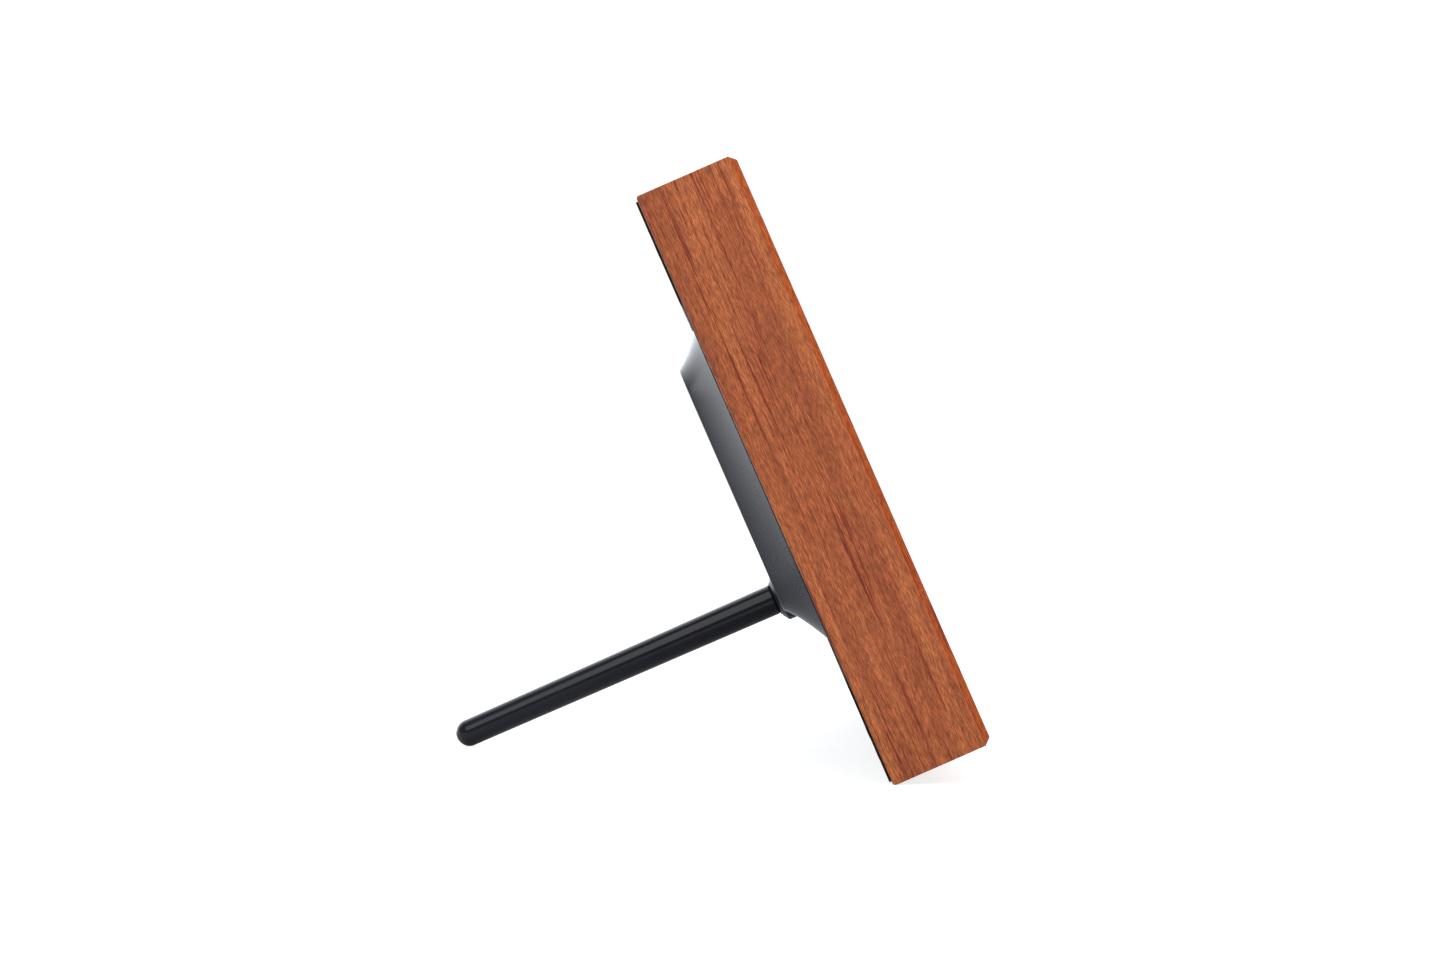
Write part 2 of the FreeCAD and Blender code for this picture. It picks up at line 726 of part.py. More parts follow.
def speaker(side_name, side):
    """A round speaker behind the grille: basket, cone and magnet, with its lead."""
    x, z = f"{side} * speaker_at", "middle"
    flange_front = "panel_front - speaker_floor"
    floor_y = f"{flange_front} - speaker_deep"
    basket = fuse(
        f"{side_name}_basket_solid",
        rod(f"{side_name}_can", "speaker_radius", (floor_y, "panel_front"), x, z),
        block(f"{side_name}_ears", around(x, "speaker_ear"), (flange_front, "panel_front"),
              around(z, "2 * speaker_radius + speaker_ear_reach")))
    screws = [small_screw(f"{side_name}_screw_{index + 1}", x,
                          f"{z} + {index} * (speaker_radius + speaker_screw_out)", flange_front,
                          "speaker_bite")
              for index in (-1, 1)]
    hollow = rod(f"{side_name}_hollow", "speaker_radius - speaker_wall",
                 (f"{floor_y} + speaker_floor", "panel_front + over"), x, z)
    node(cut(f"speaker_{side_name}_basket", basket, hollow, *screws))
    surround_front = f"{flange_front} - surround_thick"
    coil_back = f"{floor_y} + 2 * speaker_floor"
    cone_radius = "speaker_radius - speaker_wall - surround_wide"
    cone_solid = fuse(
        f"{side_name}_cone_solid",
        rod(f"{side_name}_surround", "speaker_radius - speaker_wall",
            (surround_front, flange_front), x, z),
        cone(f"{side_name}_cone_outside", "coil_radius", cone_radius,
             (coil_back, surround_front), x, z),
        rod(f"{side_name}_coil", "coil_radius", (f"{floor_y} + speaker_floor", coil_back), x, z))
    cone_hollow = cone(f"{side_name}_cone_inside", "coil_radius - cone_wall", cone_radius,
                       (f"{coil_back} + 0.6 * cone_wall", f"{flange_front} + 0.1"), x, z)
    node(cut(f"speaker_{side_name}_cone", cone_solid, cone_hollow))
    node(rod(f"speaker_{side_name}_magnet", "magnet_radius",
             (f"{floor_y} - magnet_thick", floor_y), x, z))
    through = ("panel_front - over", "panel_face + over")
    holes = [rod(f"{side_name}_grille_0", "grille_hole", through, x, z)]
    for ring, count in ((1, 6), (2, 12)):
        for index in range(count):
            turn = 2 * math.pi * index / count
            across, up = ring * math.cos(turn), ring * math.sin(turn)
            holes.append(rod(
                f"{side_name}_grille_{ring}_{index}", "grille_hole", through,
                f"{x} + grille_ring * {across:.4f}", f"{z} + grille_ring * {up:.4f}"))
    return screws, holes


screws_left, grille_left = speaker("left", -1)
screws_right, grille_right = speaker("right", 1)
speaker_screws = fastenings("speaker_screws", *screws_left, *screws_right)

lead_y = "panel_front - lead_drop"
socket_y = ("board_front - plug_thick", "board_front")
left_socket = block("speaker_socket_left", ("board_left", "board_left + plug_long"), socket_y,
                    around("middle", "plug_tall"))
right_socket = block("speaker_socket_right", ("board_right - plug_long", "board_right"),
                     socket_y,
                     around("middle", "plug_tall"))
node(group("speaker_sockets", left_socket, right_socket))
node(bar("speaker_lead_left", "lead_radius", ("speaker_radius - speaker_at", "board_left"),
         lead_y, "middle"))
node(bar("speaker_lead_right", "lead_radius", ("board_right", "speaker_at - speaker_radius"),
         lead_y, "middle"))

# ---------------------------------------------------------------- rear housing


def coved_solid(name, wall):
    """The housing's outside, or its hollow when a wall is given.

    Its four sides are hollow curves, flat at the foot and steep at the crest.
    """
    body = new_body(name)
    sections = []
    for step in range(5):
        lowest = f"({wall} / foot_to_crest)"
        share = f"({lowest} + (1 - {lowest}) * {step} / 4)"
        inward = f"({share} * (1 + cove_sag) - {share} ^ 2 * cove_sag)"
        trim = f"{wall} * inner_trim"
        sections.append(rounded_rectangle(
            body, f"{name}_section_{step}",
            (f"-housing_half + {trim} + side_run * {inward}",
             f"housing_half - {trim} - side_run * {inward}"),
            (f"housing_low + {trim} + low_run * {inward}",
             f"housing_top - {trim} - top_run * {inward}"),
            f"foot_corner - {trim} - corner_drop * {inward}",
            f"panel_face + {share} * foot_to_crest - {wall}"))
    loft = body.newObject("PartDesign::AdditiveLoft", f"{name}_loft")
    loft.Profile = sections[0]
    loft.Sections = sections[1:]
    return body


housing_outside = coved_solid("housing_outside", "0")
housing_inside = coved_solid("housing_inside", "housing_wall")

through_roof = ("roof - over", "collar_face + over")
past_housing = ("panel_face - over", "housing_rise + over")
bay_keep = block("bay_keep", ("bay_inner", "housing_half + over"), past_housing,
                 ("bay_low - housing_wall", "bay_top + housing_wall"))
shell = cut("housing_shell", housing_outside, cut("housing_hollow", housing_inside, bay_keep))
bay = block("port_bay", ("bay_floor", "housing_half + over"), past_housing,
            ("bay_low", "bay_top"))

in_roof = "housing_rise - housing_wall / 2"
board_posts, board_screw_list = [], []
for column, x in enumerate(("board_left + board_hole", "board_left + board_hole_pitch")):
    for level, z in enumerate(("board_low + board_hole", "board_top - board_hole")):
        tag = f"{column}{level}"
        board_posts.append(rod(f"board_post_{tag}", "board_post", ("board_face", in_roof), x, z))
        board_screw_list.append(small_screw(f"board_screw_{tag}", x, z, "board_front",
                                            "board_thick + board_bite"))
board_screws = fastenings("board_screws", *board_screw_list)

boss_x = "housing_half - side_run - post_side"
boss_low = "housing_low + low_run + post_low"
boss_top = "housing_top - top_run - post_top"
housing_posts, housing_screw_list = [], []
for side in (-1, 1):
    for level, z in enumerate((boss_low, boss_top)):
        tag = f"{side + 1}{level}"
        housing_posts.append(rod(f"housing_post_{tag}", "housing_post", ("panel_face", in_roof),
                                 f"{side} * ({boss_x})", z))
        housing_screw_list.append(small_screw(f"housing_screw_{tag}", f"{side} * ({boss_x})", z,
                                              "panel_front",
                                              "panel_seat + panel_face + housing_bite"))
housing_screws = fastenings("housing_screws", *housing_screw_list)

vents = []
for index in range(8):
    x = f"vent_first + {index} * vent_pitch"
    vents.append(block(f"vent_{index}", around(x, "vent_wide"), through_roof,
                       around("middle", "vent_tall")))

button_holes = []
for index in range(3):
    x = f"button_first + {index} * button_pitch"
    button_holes.append(rod(f"button_hole_{index}", "button_radius + button_gap", through_roof,
                            x, "button_row"))

usb_y = ("board_face", "board_face + usb_tall")
card_y = ("board_face", "board_face + card_tall")
jack_y = "board_face + jack_axis"
wall_x = ("bay_inner - over", "bay_floor + over")
port_holes = [
    bar("jack_hole", "jack_nose + port_gap", wall_x, jack_y, "jack_at"),
    block("usb_hole", wall_x, ("board_face - 0.1", f"{usb_y[1]} + port_gap"),
          around("usb_at", "usb_wide + 2 * port_gap")),
    block("card_hole", wall_x, ("board_face - 0.1", f"{card_y[1]} + port_gap"),
          around("card_at", "card_wide + 2 * port_gap"))]
collar_hole = rod("collar_hole", "collar_radius + button_gap", ("panel_face - over",
                                                                "collar_face + over"),
                  z="leg_height")
solid_housing = fuse("housing_solid", shell, *board_posts, *housing_posts)
node(cut("rear_housing", solid_housing, bay, collar_hole, board_screws, housing_screws,
         *vents, *button_holes, *port_holes))

# ---------------------------------------------------------------- leg and socket

socket_column = rod("socket_column", "collar_radius", ("panel_face", "collar_face"),
                    z="leg_height")
socket_foot = block("socket_foot", mid_span("socket_wide"),
                    ("panel_face", "panel_face + socket_thick"),
                    ("leg_height - socket_low", "leg_height + socket_high"))
socket_screw_list = [
    small_screw(f"socket_screw_{side + 1}", f"{side} * socket_screw_at",
                "leg_height + socket_screw_up", "panel_front",
                "panel_seat + panel_face + socket_bite")
    for side in (-1, 1)]
socket_screws = fastenings("socket_screws", *socket_screw_list)
insert_y = ("leg_root - washer_thick - insert_long", "leg_root - washer_thick")
node(cut("leg_socket", fuse("socket_solid", socket_column, socket_foot), socket_screws,
         rod("insert_bore", "insert_radius", (insert_y[0], "collar_face + over"), z="leg_height"),
         rod("washer_bore", "washer_radius", ("leg_root - washer_thick", "collar_face + over"),
             z="leg_height"),
         rod("stud_bore", "thread_radius + stud_room", ("panel_face - over", "collar_face"),
             z="leg_height")))
node(cut("leg_insert",
         rod("insert_stock", "insert_radius", insert_y, z="leg_height"),
         rod("insert_thread", "thread_radius + thread_gap", ("panel_face", "collar_face + over"),
             z="leg_height")))
node(cut("leg_washer",
         rod("washer_stock", "washer_radius - button_gap",
             ("leg_root - washer_thick", "leg_root - washer_play"), z="leg_height"),
         rod("washer_hole", "thread_radius + washer_hole", ("panel_face", "leg_root + over"),
             z="leg_height")))
stud_end = "leg_root + stud_deep"
node(rod("leg_stud", "thread_radius", ("leg_root - thread_reach", stud_end),
         z="leg_height"))

leg = new_body("leg_rod")
leg_points = [
    ("thread_radius", "leg_root"), ("leg_root_radius", "leg_root"),
    ("leg_tip_radius", "leg_tip"), ("0", "leg_tip + leg_tip_radius"),
    ("0", stud_end), ("thread_radius", stud_end)]
leg_half = new_sketch(leg, "leg_half", "XY_Plane", "leg_height")
corners = [Vector(*(value(text) for text in point)) for point in leg_points]
tip_centre = Vector(0, value("leg_tip"), 0)
for index, corner in enumerate(corners):
    if index == 2:
        tip = Part.Circle(tip_centre, Vector(0, 0, 1), value("leg_tip_radius"))
        leg_half.addGeometry(Part.ArcOfCircle(tip, 0, math.pi / 2))
    else:
        leg_half.addGeometry(Part.LineSegment(corner, corners[(index + 1) % len(corners)]))
for index in range(len(corners)):
    leg_half.addConstraint(
        Sketcher.Constraint("Coincident", index, 2, (index + 1) % len(corners), 1))
for index, (across, along) in enumerate(leg_points):
    limit(leg_half, "DistanceX", across, index, 1, corners[index].x)
    limit(leg_half, "DistanceY", along, index, 1, corners[index].y)
limit(leg_half, "DistanceX", "0", 2, 3, 0.0)
turned_leg = leg.newObject("PartDesign::Revolution", "leg_turned")
turned_leg.Profile = leg_half
turned_leg.ReferenceAxis = (leg_half, ["V_Axis"])
turned_leg.Angle = 360
doc.recompute()
soften(leg, "Fillet", "leg_root_round", turned_leg, "leg_round", lambda edge: (
    lies_at(edge, y=value("leg_root")) and edge.Length > 2 * math.pi * value("thread_radius") + 1))
node(leg)

# ---------------------------------------------------------------- back panel

panel_stock = new_body("panel_stock")
panel_profile = polygon(panel_stock, "panel_profile", "YZ_Plane", [
    ("panel_front", "panel_edge"), ("band_face", "panel_edge"),
    ("band_face", "band_low - band_ramp"), ("panel_face", "band_low"),
    ("panel_face", "high - band_top"), ("band_face", "high - band_top + band_ramp"),
    ("band_face", "high - panel_edge"), ("panel_front", "high - panel_edge")],
    "panel_edge - half")
pad(panel_stock, "panel_pad", panel_profile, "wide - 2 * panel_edge")
board_window = block("board_window", ("board_left - board_room", "board_right + screw_gap"),
                     ("panel_front - over", "band_face + over"),
                     ("board_low - board_room", "board_top + board_room"))
node(cut("back_panel", panel_stock, board_window, left_window, right_window,
         back_panel_screws, keyhole_screws, speaker_screws, housing_screws, socket_screws,
         *grille_left, *grille_right))

# ---------------------------------------------------------------- main board

board_stock = plate("board_stock", ("board_left", "board_right"), ("board_low", "board_top"),
                    ("board_front", "board_face"), "board_corner")
node(cut("main_board", board_stock, board_screws))


def chip(name, x, z, width, height, thick, foot="board_face"):
    """A flat package soldered to the back of the board."""
    return block(name, around(x, width), (foot, f"{foot} + {thick}"), around(z, height))


soc_at = ("board_left + 48", "middle + 4")
node(chip("processor", *soc_at, "15", "15", "1.5"))
fins = [chip("sink_base", *soc_at, "24", "22", "1.6", "board_face + 1.5")]
for index in range(-3, 4):
    fins.append(chip(f"sink_fin_{index + 3}", f"{soc_at[0]} + {index} * 3.6", soc_at[1],
                     "1.1", "22", "4.8", "board_face + 2.1"))
node(fuse("heat_sink", *fins))
node(group("memory_chips", *[chip(f"memory_{index}", "board_left + 68", f"middle + {index} * 16",
                                  "9", "13", "1.1") for index in (0, 1)]))
node(chip("storage_chip", "board_left + 20", "middle + 4", "11.5", "13", "1.2"))
node(block("wifi_module", around("board_left + 32", "14"), ("board_front - 2.2", "board_front"),
           ("board_top - 17", "board_top - 3")))
antenna_x = around("board_left + 32", "34")
node(block("wifi_antenna", antenna_x, ("panel_front - 0.4", "panel_front"),
           ("board_top + 18", "board_top + 26")))
lead = doc.addObject("Part::Cylinder", "antenna_lead")
tie(lead, "Radius", "0.5")
tie(lead, "Height", "21")
node(spot(lead, "board_left + 32", "board_front - 1.6", "board_top - 3"))

node(block("ribbon_socket", mid_span("24"), ("board_front - 2", "board_front"),
           ("board_low + 6", "board_low + 11")))
ribbon = new_body("lcd_ribbon")
ribbon_profile = polygon(ribbon, "ribbon_profile", "YZ_Plane", [
    ("lcd_back + 2", f"{driver_low} + 9"), ("lcd_back + 2.3", f"{driver_low} + 9"),
    ("chassis_back + 0.5", f"{driver_low} + 14"), ("chassis_back + 0.5", "board_low + 2"),
    ("board_front - 0.8", "board_low + 4"), ("board_front - 0.8", "board_low + 6"),
    ("board_front - 1.1", "board_low + 6"), ("board_front - 1.1", "board_low + 4.2"),
    ("chassis_back + 0.2", "board_low + 2.2"), ("chassis_back + 0.2", f"{driver_low} + 14.2"),
    ("lcd_back + 2", f"{driver_low} + 9.4")], "-10")
pad(ribbon, "ribbon_pad", ribbon_profile, "20")
node(ribbon)

# ---------------------------------------------------------------- ports

jack_body = block("jack_body", ("port_face - jack_long", "bay_inner - port_gap"),
                  ("board_face", "board_face + 2 * jack_axis"), around("jack_at", "jack_wide"))
nose = bar("jack_nose_tube", "jack_nose", ("bay_inner - over", "port_face"), jack_y, "jack_at")
jack_hole = bar("jack_barrel", "jack_bore", ("port_face - jack_deep", "port_face + over"),
                jack_y, "jack_at")
jack_pin = bar("jack_pin", "jack_pin", ("port_face - jack_deep - 0.5", "port_face - 1"),
               jack_y, "jack_at")
node(fuse("dc_jack", cut("jack_tube", fuse("jack_solid", jack_body, nose), jack_hole), jack_pin))

usb_x = ("port_face - usb_long", "port_face")
usb_open_y = ("board_face + usb_wall", "board_face + usb_tall - usb_wall")
usb_shell = cut("usb_shell", block("usb_block", usb_x, usb_y, around("usb_at", "usb_wide")),
                block("usb_hollow", ("port_face - usb_deep", "port_face + over"),
                      usb_open_y,
                      around("usb_at", "usb_wide - 2 * usb_wall")))
tongue_back = "board_face + usb_tall - usb_wall - tongue_gap"
usb_tongue = block("usb_tongue", ("port_face - usb_deep - 0.5", "port_face - tongue_set"),
                   (f"{tongue_back} - tongue_thick", tongue_back),
                   around("usb_at", "usb_wide - 2 * tongue_set"))
node(fuse("usb_socket", usb_shell, usb_tongue))

node(cut("card_slot",
         block("card_block", ("port_face - card_long", "port_face"), card_y,
               around("card_at", "card_wide")),
         block("card_hollow", ("port_face - card_long + 2", "port_face + over"),
               ("board_face + card_wall", "board_face + card_tall - card_wall"),
               around("card_at", "card_slot"))))

# ---------------------------------------------------------------- buttons

switch_top = "board_face + switch_reach"
flange_middle = "roof - button_lip_thick / 2"
switches = []
for index, name in enumerate(("power_button", "volume_down_button", "volume_up_button")):
    x, z = f"button_first + {index} * button_pitch", "button_row"
    switches.append(fuse(
        f"switch_{index}",
        chip(f"switch_case_{index}", x, z, "switch_wide", "switch_wide", "switch_tall"),
        rod(f"switch_stem_{index}", "switch_stem", ("board_face + switch_tall - 0.1", switch_top),
            x, z)))
    node(fuse(
        name,
        rod(f"{name}_cap", "button_radius", (flange_middle, "housing_rise + button_proud"), x, z),
        rod(f"{name}_flange", "button_radius + button_lip",
            ("roof - button_free - button_lip_thick", "roof - button_free"), x, z),
        rod(f"{name}_stem", "button_stem",
            (f"{switch_top} + button_travel + button_free", flange_middle), x, z)))
node(group("tact_switches", *switches))

# ---------------------------------------------------------------- checks and export

doc.recompute()
for thing in doc.Objects:
    if {"Invalid", "Error"} & set(thing.State):
        raise RuntimeError(f"{thing.Label} did not compute: {thing.State}")
for thing in nodes:
    if thing.Shape.isNull() or not thing.Shape.isValid() or not thing.Shape.Solids:
        raise RuntimeError(f"{thing.Label} is not a sound solid")
for thing in nodes:
    thing.Shape.exportStep(f"parts/{thing.Label}.step")
    print(f"{thing.Label}: {len(thing.Shape.Solids)} solid(s), {thing.Shape.Volume:.1f} mm3")
whole = Part.makeCompound([thing.Shape for thing in nodes]).BoundBox
print(len(nodes), "nodes", whole)
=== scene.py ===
"""Looks for the wooden digital photo frame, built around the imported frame.

Pieces are made in the frame's flat axes, in metres: X across the picture, Y from the front
to the back with 0 at the back of the wood, Z up the picture from its lower edge. The
leaning pose then comes from one matrix, read off the leg's joint.
"""
import json
import math

import bmesh
import bpy
from mathutils import Matrix, Vector


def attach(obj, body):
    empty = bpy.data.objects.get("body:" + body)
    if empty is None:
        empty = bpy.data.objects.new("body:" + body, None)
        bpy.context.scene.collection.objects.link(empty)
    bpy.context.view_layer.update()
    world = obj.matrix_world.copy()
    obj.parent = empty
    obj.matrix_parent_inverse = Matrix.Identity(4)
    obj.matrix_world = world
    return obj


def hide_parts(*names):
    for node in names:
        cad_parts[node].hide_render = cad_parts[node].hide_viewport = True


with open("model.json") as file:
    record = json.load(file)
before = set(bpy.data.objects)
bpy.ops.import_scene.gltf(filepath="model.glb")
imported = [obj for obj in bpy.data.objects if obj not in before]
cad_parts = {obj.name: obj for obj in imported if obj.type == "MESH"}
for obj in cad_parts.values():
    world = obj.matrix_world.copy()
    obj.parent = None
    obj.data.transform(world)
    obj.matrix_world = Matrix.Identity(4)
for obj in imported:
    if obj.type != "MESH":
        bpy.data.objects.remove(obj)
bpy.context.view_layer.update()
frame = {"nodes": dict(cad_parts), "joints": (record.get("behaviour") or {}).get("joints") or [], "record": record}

# ------------------------------------------------------------------ the object's own sizes
WIDE, HIGH, DEEP = 0.272, 0.190, 0.0319
FACE, WALL = 0.018, 0.014  # a rail's width at the front lip and around the screen
LIP, STACK = 0.005, 0.0097  # STACK is the room for the glass, the mat and the screen
LIP_BACK = LIP - DEEP
LEDGE = LIP_BACK + STACK
EDGE_RUN, EDGE_IN, EDGE_ROUND = 0.0022, 0.0018, 0.0009
SIDE_ROUND, INNER_ROUND, BACK_ROUND = 0.0006, 0.0005, 0.0002
PANEL_SEAT, PANEL_SIDE = 0.0022, 0.0012  # the rebate that holds the back panel
LEG_HEIGHT, LEG_ROOT = 0.0598, 0.0115
LEG_ROOT_RADIUS, LEG_TIP_RADIUS = 0.00525, 0.0046
PANEL_FACE, BAND_FACE = 0.0003, 0.0007
CREST = 0.0096
PAST = 0.001  # how far a cutting shape runs past what it cuts

turn_joint = next(j for j in frame["joints"] if j["name"] == "leg_turn")
out_of_back = Vector(turn_joint["axis"]).normalized()
LEAN = math.atan2(-out_of_back.z, out_of_back.y)
turn = Matrix.Rotation(-LEAN, 4, "X")
corner = Vector(turn_joint["pos_m"]) - turn @ Vector((0, LEG_ROOT, LEG_HEIGHT))
STAND = Matrix.Translation(corner) @ turn
UNSTAND = STAND.inverted()


# ------------------------------------------------------------------ mesh helpers
made = []


def even_normals(piece):
    """Shades every flat face flat right up to the small rounds at its edges."""
    level = piece.modifiers.new("even", "WEIGHTED_NORMAL")
    level.mode = "FACE_AREA"
    level.keep_sharp = True


def new_piece(name, mesh_maker, body="frame", place=None, replaces=(), material=None,
              sharp=35):
    """A mesh object from a bmesh, leaned back with the frame, riding on its body."""
    mesh = bpy.data.meshes.new(name)
    bm = bmesh.new()
    mesh_maker(bm)
    bmesh.ops.recalc_face_normals(bm, faces=bm.faces)
    shade(bm, sharp)
    bm.to_mesh(mesh)
    bm.free()
    piece = bpy.data.objects.new(name, mesh)
    bpy.context.scene.collection.objects.link(piece)
    piece.matrix_world = STAND @ (place or Matrix.Identity(4))
    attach(piece, body)
    if replaces:
        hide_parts(*replaces)
    for one in material if isinstance(material, (list, tuple)) else [material]:
        mesh.materials.append(one)
    made.append(piece)
    return piece


def shade(bm, degrees):
    """Smooth faces, with sharp edges where two faces meet at more than the angle."""
    limit = math.radians(degrees)
    for face in bm.faces:
        face.smooth = True
    for edge in bm.edges:
        if len(edge.link_faces) == 2:
            edge.smooth = edge.calc_face_angle(0) < limit


def arc(centre, radius, first, last, steps):
    """Points of an arc, in degrees, in the plane of a profile."""
    points = []
    for step in range(steps + 1):
        angle = math.radians(first + (last - first) * step / steps)
        points.append((centre[0] + radius * math.cos(angle), centre[1] + radius * math.sin(angle)))
    return points


def revolve(bm, profile, segments=64, centre=(0, 0)):
    """A solid of revolution about the axis along Y: the profile is (radius, y)."""
    rings = []
    for radius, y in profile:
        if radius < 1e-7:
            rings.append([bm.verts.new((centre[0], y, centre[1]))])
            continue
        rings.append([bm.verts.new((centre[0] + radius * math.cos(2 * math.pi * k / segments), y,
                                    centre[1] + radius * math.sin(2 * math.pi * k / segments)))
                      for k in range(segments)])
    for first, second in zip(rings, rings[1:]):
        for k in range(segments):
            after = (k + 1) % segments
            corners = [first[k % len(first)], first[after % len(first)],
                       second[after % len(second)], second[k % len(second)]]
            unique = list(dict.fromkeys(corners))
            if len(unique) > 2:
                bm.faces.new(unique)
    return rings


def skin(bm, rings):
    """Quads between rings of as many points."""
    count = len(rings[0])
    for first, second in zip(rings, rings[1:]):
        for k in range(count):
            after = (k + 1) % count
            bm.faces.new((first[k], first[after], second[after], second[k]))


def rounded_ring(left, right, low, top, bend, y, corner_steps=14):
    """Points of a rounded rectangle across the picture, at a depth."""
    points = []
    for x, z, first in ((right - bend, low + bend, 270), (right - bend, top - bend, 0),
                        (left + bend, top - bend, 90), (left + bend, low + bend, 180)):
        points += [Vector((px, y, pz)) for px, pz in
                   arc((x, z), bend, first, first + 90, corner_steps)]
    return points


def refined(node, material, width=0.00015, segments=2, sharp=30, body="frame"):
    """A CAD node's own shape with its edges softened, standing for that node."""
    source = frame["nodes"][node]
    mesh = source.data.copy()
    mesh.name = f"{node}_soft"
    bm = bmesh.new()
    bm.from_mesh(mesh)
    bmesh.ops.transform(bm, matrix=UNSTAND, verts=bm.verts)
    bmesh.ops.remove_doubles(bm, verts=bm.verts, dist=2e-6)
    bmesh.ops.dissolve_limit(bm, angle_limit=math.radians(1.5), verts=bm.verts, edges=bm.edges,
                             delimit={"NORMAL"})
    edges = [e for e in bm.edges
             if len(e.link_faces) == 2 and e.calc_face_angle(0) > math.radians(sharp)]
    if width > 0 and edges:
        bmesh.ops.bevel(bm, geom=edges, offset=width, offset_type="OFFSET", segments=segments,
                        profile=0.5, affect="EDGES", clamp_overlap=True)
    shade(bm, sharp)
    bm.to_mesh(mesh)
    bm.free()
    mesh.materials.clear()
    mesh.materials.append(material)
    piece = bpy.data.objects.new(f"{node}_look", mesh)
    bpy.context.scene.collection.objects.link(piece)
    piece.matrix_world = STAND.copy()
    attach(piece, body)
    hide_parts(node)
    made.append(piece)
    return piece


# ------------------------------------------------------------------ material helpers

class Shader:
    """A material under construction: a principled shader and the nodes that feed it."""

    def __init__(self, name, **constants):
        self.material = bpy.data.materials.new(name)
        self.material.use_nodes = True
        self.tree = self.material.node_tree
        self.bsdf = self.tree.nodes["Principled BSDF"]
        for socket, number in constants.items():
            self.bsdf.inputs[socket.replace("_", " ")].default_value = number
        self.coords = self.tree.nodes.new("ShaderNodeTexCoord").outputs["Object"]

    def link(self, source, target):
        self.tree.links.new(source, target)

    def mapped(self, scale, shift=(0, 0, 0), turned=(0, 0, 0)):
        node = self.tree.nodes.new("ShaderNodeMapping")
        node.inputs["Scale"].default_value = scale
        node.inputs["Location"].default_value = shift
        node.inputs["Rotation"].default_value = turned
        self.link(self.coords, node.inputs["Vector"])
        return node.outputs["Vector"]

    def noise(self, vector, scale=1.0, detail=3.0, roughness=0.5, distortion=0.0):
        node = self.tree.nodes.new("ShaderNodeTexNoise")
        node.inputs["Scale"].default_value = scale
        node.inputs["Detail"].default_value = detail
        node.inputs["Roughness"].default_value = roughness
        node.inputs["Distortion"].default_value = distortion
        self.link(vector, node.inputs["Vector"])
        return node.outputs["Fac"]

    def ramp(self, fac, stops, mode="LINEAR"):
        """A colour or grey ramp; each stop is (position, colour or grey)."""
        node = self.tree.nodes.new("ShaderNodeValToRGB")
        node.color_ramp.interpolation = mode
        while len(node.color_ramp.elements) < len(stops):
            node.color_ramp.elements.new(1.0)
        for element, (position, colour) in zip(node.color_ramp.elements, stops):
            element.position = position
            tone = (colour,) * 3 if isinstance(colour, (int, float)) else colour
            element.color = (*tone, 1.0)
        self.link(fac, node.inputs["Fac"])
        return node.outputs["Color"]

    def mix(self, mode, factor, first, second):
        """Mixes two colours; each may be an output or a constant."""
        node = self.tree.nodes.new("ShaderNodeMix")
        node.data_type = "RGBA"
        node.blend_type = mode
        for name, given in (("Factor", factor), ("A", first), ("B", second)):
            kind = "VALUE" if name == "Factor" else "RGBA"
            socket = next(s for s in node.inputs if s.name == name and s.type == kind)
            if isinstance(given, bpy.types.NodeSocket):
                self.link(given, socket)
            else:
                socket.default_value = given if name == "Factor" else (*given, 1.0)
        return next(s for s in node.outputs if s.type == "RGBA")

    def math(self, operation, first, second=0.0):
        node = self.tree.nodes.new("ShaderNodeMath")
        node.operation = operation
        for socket, given in zip(node.inputs, (first, second)):
            if isinstance(given, bpy.types.NodeSocket):
                self.link(given, socket)
            else:
                socket.default_value = given
        return node.outputs["Value"]

    def range(self, value, low, high, new_low, new_high):
        node = self.tree.nodes.new("ShaderNodeMapRange")
        for name, number in (("From Min", low), ("From Max", high),
                             ("To Min", new_low), ("To Max", new_high)):
            node.inputs[name].default_value = number
        self.link(value, node.inputs["Value"])
        return node.outputs["Result"]

    def bump(self, height, strength, distance):
        node = self.tree.nodes.new("ShaderNodeBump")
        node.inputs["Strength"].default_value = strength
        node.inputs["Distance"].default_value = distance
        self.link(height, node.inputs["Height"])
        if self.bsdf.inputs["Normal"].is_linked:
            self.link(self.bsdf.inputs["Normal"].links[0].from_socket, node.inputs["Normal"])
        self.link(node.outputs["Normal"], self.bsdf.inputs["Normal"])

    def set(self, socket, source):
        self.link(source, self.bsdf.inputs[socket])


def srgb(red, green, blue):
    """A colour as the eye names it, from 0 to 255, as the renderer needs it."""
    def straight(level):
        level /= 255
        return level / 12.92 if level <= 0.04045 else ((level + 0.055) / 1.055) ** 2.4
    return (straight(red), straight(green), straight(blue))


